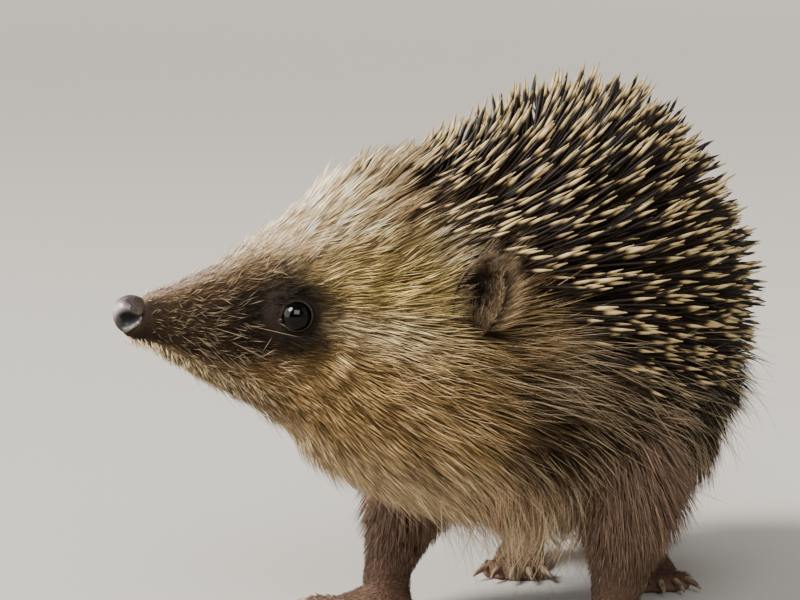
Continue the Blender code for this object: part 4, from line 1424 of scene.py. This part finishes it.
SPINE_INPUTS = {  # the inputs of the spines' node tree: socket type, then value
    "Spine radius": ("NodeSocketFloat", SPINE_RADIUS * MM),
    "Spine length": ("NodeSocketFloat", MM),
    "Patch width": ("NodeSocketFloat", PATCH),
    "Sides": ("NodeSocketInt", 5),
    "Rings": ("NodeSocketInt", 8),
}


def one_spine(tree, given):
    """The nodes that sweep one tapered spine along z and mark the places along it and round it."""
    line = add_node(tree, "GeometryNodeCurvePrimitiveLine", Start=(0, 0, 0), End=(0, 0, 1))
    stem = add_node(tree, "GeometryNodeResampleCurve", Curve=line.outputs[0], Count=given.outputs["Rings"])
    place = add_node(tree, "GeometryNodeSplineParameter")
    swell = add_node(tree, "ShaderNodeFloatCurve", Value=place.outputs["Factor"])
    curve = swell.mapping.curves[0]
    for share, height in SPINE_TAPER[1:-1]:
        curve.points.new(share, height)
    curve.points[0].location, curve.points[-1].location = SPINE_TAPER[0], SPINE_TAPER[-1]
    swell.mapping.update()
    marked = add_node(
        tree, "GeometryNodeStoreNamedAttribute", {"data_type": "FLOAT", "domain": "POINT"},
        Geometry=stem.outputs[0], Name="along", Value=place.outputs["Factor"],
    )  # fmt: skip
    circle = add_node(
        tree, "GeometryNodeCurvePrimitiveCircle", {"mode": "RADIUS"},
        Resolution=given.outputs["Sides"], Radius=1.0,
    )  # fmt: skip
    around = add_node(tree, "GeometryNodeSplineParameter")
    ring = add_node(
        tree, "GeometryNodeStoreNamedAttribute", {"data_type": "FLOAT", "domain": "POINT"},
        Geometry=circle.outputs[0], Name="round", Value=around.outputs["Factor"],
    )  # fmt: skip
    return add_node(
        tree, "GeometryNodeCurveToMesh",
        Curve=marked.outputs[0], Profile_Curve=ring.outputs[0], Scale=swell.outputs[0], Fill_Caps=True,
    )  # fmt: skip


def patches_on_map(tree, given, spines):
    """The nodes that give each spine a small patch on the bake map, at the place of its root."""
    along, turn = (
        add_node(tree, "GeometryNodeInputNamedAttribute", {"data_type": "FLOAT"}, Name=name)
        for name in ("along", "round")
    )  # fmt: skip
    # The bow gives the closed ends some width on the map.
    bow = add_node(tree, "ShaderNodeMath", {"operation": "MULTIPLY"}, i0=turn.outputs[0], i1=turn.outputs[0])
    bowed = add_node(
        tree, "ShaderNodeMath", {"operation": "MULTIPLY_ADD"}, i0=bow.outputs[0], i1=0.1, i2=along.outputs[0]
    )
    in_patch = add_node(tree, "ShaderNodeCombineXYZ", X=turn.outputs[0], Y=bowed.outputs[0])
    sized = add_node(
        tree, "ShaderNodeVectorMath", {"operation": "SCALE"},
        i0=in_patch.outputs[0], Scale=given.outputs["Patch width"],
    )  # fmt: skip
    home = add_node(tree, "GeometryNodeInputNamedAttribute", {"data_type": "FLOAT_VECTOR"}, Name="home")
    on_map = add_node(
        tree, "ShaderNodeVectorMath", {"operation": "ADD"}, i0=home.outputs[0], i1=sized.outputs[0]
    )
    return add_node(
        tree, "GeometryNodeStoreNamedAttribute", {"data_type": "FLOAT2", "domain": "CORNER"},
        Geometry=spines.outputs[0], Name="OFBake", Value=on_map.outputs[0],
    )  # fmt: skip


def spine_tree(material):
    """Geometry nodes that set a tapered spine on each root, aimed and sized by the root's attributes."""
    tree = bpy.data.node_groups.new("spines_on_roots", "GeometryNodeTree")
    interface = tree.interface
    interface.new_socket("Roots", in_out="INPUT", socket_type="NodeSocketGeometry")
    for name, (kind, value) in SPINE_INPUTS.items():
        interface.new_socket(name, in_out="INPUT", socket_type=kind).default_value = value
    interface.new_socket("Spines", in_out="OUTPUT", socket_type="NodeSocketGeometry")
    given = add_node(tree, "NodeGroupInput")
    body = one_spine(tree, given)
    aim, size = (
        add_node(tree, "GeometryNodeInputNamedAttribute", {"data_type": "FLOAT_VECTOR"}, Name=name)
        for name in ("aim", "size")
    )  # fmt: skip
    turned = add_node(tree, "FunctionNodeAlignRotationToVector", {"axis": "Z"}, Vector=aim.outputs[0])
    measure = add_node(
        tree, "ShaderNodeCombineXYZ",
        X=given.outputs["Spine radius"], Y=given.outputs["Spine radius"], Z=given.outputs["Spine length"],
    )  # fmt: skip
    scale = add_node(
        tree, "ShaderNodeVectorMath", {"operation": "MULTIPLY"}, i0=size.outputs[0], i1=measure.outputs[0]
    )
    set_out = add_node(
        tree, "GeometryNodeInstanceOnPoints", Points=given.outputs["Roots"], Instance=body.outputs[0],
        Rotation=turned.outputs[0], Scale=scale.outputs[0],
    )  # fmt: skip
    real = add_node(tree, "GeometryNodeRealizeInstances", Geometry=set_out.outputs[0])
    mapped = patches_on_map(tree, given, real)
    smooth = add_node(tree, "GeometryNodeSetShadeSmooth", Geometry=mapped.outputs[0])
    dressed = add_node(tree, "GeometryNodeSetMaterial", Geometry=smooth.outputs[0], Material=material)
    add_node(tree, "NodeGroupOutput", Spines=dressed.outputs[0])
    return tree


def rooted(rng, at, angle):
    """A mesh of roots that holds each spine's aim, size, and its paleness and painted shade, and its home on
    the bake map.
    """
    count = len(at)
    normal, tailward = skin_ways(at, angle)
    crest = from_crest(angle)
    down = unit(-UP + normal * normal[:, 2:3])
    droop = np.radians(14) * smoothstep(crest, 50, 100) + rng.normal(0, 0.16, count)
    way = unit(turned_towards(tailward, down, droop))
    upright = 15 * (1 - smoothstep(crest, 12, 48)) * smoothstep(at, 50, 64) * (1 - smoothstep(at, 96, 128))
    lift = spine_lift(at) + upright - 6 * smoothstep(crest, 70, 105) + rng.normal(0, 6.5, count)
    aim = unit(turned_towards(way, normal, np.radians(lift)))
    long = spine_length(at) * (1 - 0.22 * smoothstep(crest, 60, 108)) * rng.uniform(0.86, 1.08, count)
    stout = (0.55 + 0.45 * smoothstep(at, 46, 72)) * rng.uniform(0.85, 1.1, count)
    # Paler on the crown and at random; painted shade darkens the spines towards the rump.
    paleness_and_shade = rng.normal(0, 0.5, count) + 0.9 * (1 - smoothstep(at, 46, 80)) - 0.8 * smoothstep(at, 90, 135)
    home = np.concatenate([bake_place(at, angle), np.zeros((count, 1))], 1)
    roots = mesh_from("roots", on_form(at, angle, 1) - normal * 0.6, np.zeros((0, 3), int))
    for name, values in (("aim", aim), ("home", home), ("size", np.stack([stout, stout, long], 1))):
        attribute = roots.attributes.new(name, "FLOAT_VECTOR", "POINT")
        attribute.data.foreach_set("vector", values.astype(np.float32).ravel())
    roots.attributes.new("spine_tone_and_shade", "FLOAT", "POINT").data.foreach_set("value", paleness_and_shade.astype(np.float32))
    return roots


def grown(roots, tree):
    """The plain mesh that the spines' node tree makes on these roots."""
    obj = bpy.data.objects.new("spine_roots", roots)
    bpy.context.scene.collection.objects.link(obj)
    modifier = obj.modifiers.new("spines", "NODES")
    modifier.node_group = tree
    for socket in tree.interface.items_tree:
        if socket.in_out == "INPUT" and socket.name in SPINE_INPUTS:
            modifier[socket.identifier] = SPINE_INPUTS[socket.name][1]
    bpy.context.view_layer.update()
    mesh = bpy.data.meshes.new_from_object(obj.evaluated_get(bpy.context.evaluated_depsgraph_get()))
    bpy.data.objects.remove(obj, do_unlink=True)
    return mesh


def build_spines(material):
    """The mantle of spines, as one piece on each side."""
    rng = np.random.default_rng(SPINE_SEED)
    s, a = spine_roots(rng)
    tree = spine_tree(material)
    for side, sign in SIDES:
        here = on_side(a, sign)
        mesh = grown(rooted(rng, s[here], a[here]), tree)
        triangles = sum(len(face.vertices) - 2 for face in mesh.polygons)
        print(f"spines_{side}: {here.sum()} spines, {triangles} triangles")
        add_piece(f"spines_{side}", mesh, material)


# --- Put together ---


def build_skin(material):
    """The skin as one piece. The shells of the limbs and the tail are given back for their fur."""
    limbs = {name: limb_shell(name) for name in LEGS}
    tail = tail_shell()
    shells = [trunk_shell(), tail, *limbs.values()]
    for _, sign in SIDES:
        shells += [lid_shell(sign), ear_shell(sign)]
    points, triangles, colours = joined(shells)
    flesh = [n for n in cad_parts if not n.startswith(("eye_", "nose"))]
    add_piece("skin", mesh_from("skin", points, triangles, colours), material, flesh)
    print(f"skin: {len(triangles)} triangles")
    return limbs, tail


FLOOR_RADIUS, COVE_RADIUS = 3.0, 2.6  # in metres
FLOOR_COLOUR = "#95928d"
FLOOR_SIDES, COVE_STEPS = 96, 12

# A far light that falls evenly on the whole floor: where it comes from, strength, width in degrees, colour.
KEY_LIGHT = ((-0.55, 0.70, 0.95), 9.4, 26, (1.0, 0.96, 0.90))
# Panels of light: place and size in metres, power in watts, colour.
PANELS = {
    "window": ((-0.62, 1.05, 0.50), (1.1, 1.0), 22, (0.97, 0.96, 1.0)),
    "front": ((-1.05, -0.28, 0.85), (0.85, 0.70), 24, (1.0, 0.98, 0.95)),
    "side": ((0.1, -1.3, 0.9), (1.2, 1.2), 3.5, (1.0, 0.98, 0.95)),
    "rear": ((0.6, 0.45, 0.95), (0.8, 0.5), 4.5, (1.0, 0.95, 0.88)),
}
PANEL_TARGET = (0, 0, 0.06)
ROOM_COLOUR, ROOM_STRENGTH = (0.80, 0.79, 0.77, 1), 0.24

# The camera stands in front and to the left, a little above the animal, with a long lens.
CAMERA_AZIMUTH, CAMERA_ELEVATION = -74, 7  # in degrees, from the animal's left side and from level
CAMERA_DISTANCE = 0.600  # in metres
LENS, SENSOR_WIDTH = 142.1, 36.0  # in mm
AIM_RIGHT, AIM_BEYOND, AIM_UP = 0.01948, 0.00288, 0.00308  # where it looks, from the left eye, in metres


def build_stage():
    """A plain pale floor, wide enough to walk round the animal, that curves up into a wall on all sides."""
    bend = [t * math.pi / 2 / COVE_STEPS for t in range(COVE_STEPS + 1)]
    profile = [(0.25, 0), (FLOOR_RADIUS / 2, 0), (FLOOR_RADIUS, 0)]
    for b in bend[1:]:
        profile.append((FLOOR_RADIUS + COVE_RADIUS * math.sin(b), COVE_RADIUS * (1 - math.cos(b))))
    mesh = bmesh.new()
    middle = mesh.verts.new((0, 0, 0))
    rings = []
    turns = [2 * math.pi * i / FLOOR_SIDES for i in range(FLOOR_SIDES)]
    for radius, height in profile:
        rings.append([mesh.verts.new((radius * math.cos(a), radius * math.sin(a), height)) for a in turns])
    for i in range(FLOOR_SIDES):
        j = (i + 1) % FLOOR_SIDES
        mesh.faces.new((middle, rings[0][i], rings[0][j]))
        for inner, outer in zip(rings, rings[1:]):
            mesh.faces.new((inner[i], outer[i], outer[j], inner[j]))
    data = bpy.data.meshes.new("studio_floor")
    mesh.to_mesh(data)
    mesh.free()
    data.shade_smooth()
    material, _, _ = new_material("matt_pale_board", Base_Color=(*linear(FLOOR_COLOUR), 1), Roughness=0.9)
    data.materials.append(material)
    floor = bpy.data.objects.new("studio_floor", data)
    bpy.context.scene.collection.objects.link(floor)


def aimed(name, data, place, target):
    """Puts a light or a camera at this place, pointing at the target."""
    obj = bpy.data.objects.new(name, data)
    obj.location = place
    obj.rotation_euler = (Vector(target) - Vector(place)).to_track_quat("-Z", "Y").to_euler()
    bpy.context.scene.collection.objects.link(obj)
    return obj


def build_lights():
    """The key light, the panels and the faint light of the room."""
    place, strength, width, colour = KEY_LIGHT
    key = bpy.data.lights.new("key", "SUN")
    key.energy = strength
    key.angle = math.radians(width)
    key.color = colour
    aimed("key", key, place, (0, 0, 0))
    for name, (place, size, power, colour) in PANELS.items():
        panel = bpy.data.lights.new(name, "AREA")
        panel.shape = "RECTANGLE"
        panel.size, panel.size_y = size
        panel.energy = power
        panel.color = colour
        aimed(name, panel, place, PANEL_TARGET)
    world = bpy.data.worlds.new("studio")
    bpy.context.scene.world = world
    world.use_nodes = True
    room = world.node_tree.nodes["Background"]
    room.inputs["Color"].default_value = ROOM_COLOUR
    room.inputs["Strength"].default_value = ROOM_STRENGTH


def build_camera():
    """The camera, aimed from the place of the left eye."""
    azimuth, elevation = math.radians(CAMERA_AZIMUTH), math.radians(CAMERA_ELEVATION)
    level = math.cos(elevation)
    towards = Vector((math.sin(azimuth) * level, -math.cos(azimuth) * level, math.sin(elevation)))
    eye = Vector(spot(EYE_AT, -EYE_ACROSS, EYE_HEIGHT)) * MM
    right = Vector((0, 0, 1)).cross(towards).normalized()
    target = eye + right * AIM_RIGHT - towards * AIM_BEYOND + towards.cross(right) * AIM_UP
    camera = bpy.data.cameras.new("camera")
    camera.lens = LENS
    camera.sensor_width = SENSOR_WIDTH
    bpy.context.scene.camera = aimed("camera", camera, target + towards * CAMERA_DISTANCE, target)


fur = hair_material()
limb_shells, bare_tail = build_skin(skin_material())
add_piece("nose_pad", nose_mesh(), nose_material(), ["nose"])
wet_eye, moist_corner = eye_material(), tear_material()
for side, sign in SIDES:
    add_piece(f"eyeball_{side}", eyeball_mesh(side, sign), wet_eye, [f"eye_{side}"])
    add_piece(f"tear_corner_{side}", tear_corner_mesh(side, sign), moist_corner)
horn = claw_material()
for leg_name in LEGS:
    add_piece(f"claws_{leg_name}", claws(leg_name), horn)
build_fur(fur)
limb_rng = np.random.default_rng(LIMB_SEED)
for pair in ("foreleg", "hindleg"):
    strands = [limb_fur(limb_rng, limb_shells[n], n) for n in LEGS if n.startswith(pair)]
    coat_piece(f"fur_{pair}s", strands, fur)
coat_piece("fur_tail", [tail_fur(limb_rng, bare_tail)], fur)
coat_piece("fur_ears", [part for _, sign in SIDES for part in ear_fur(limb_rng, sign)], fur)
coat_piece("whiskers", [whisker_strands(limb_rng), fringe_strands(limb_rng)], fur)
build_spines(spine_material())
build_stage()
build_lights()
build_camera()

bpy.context.view_layer.update()
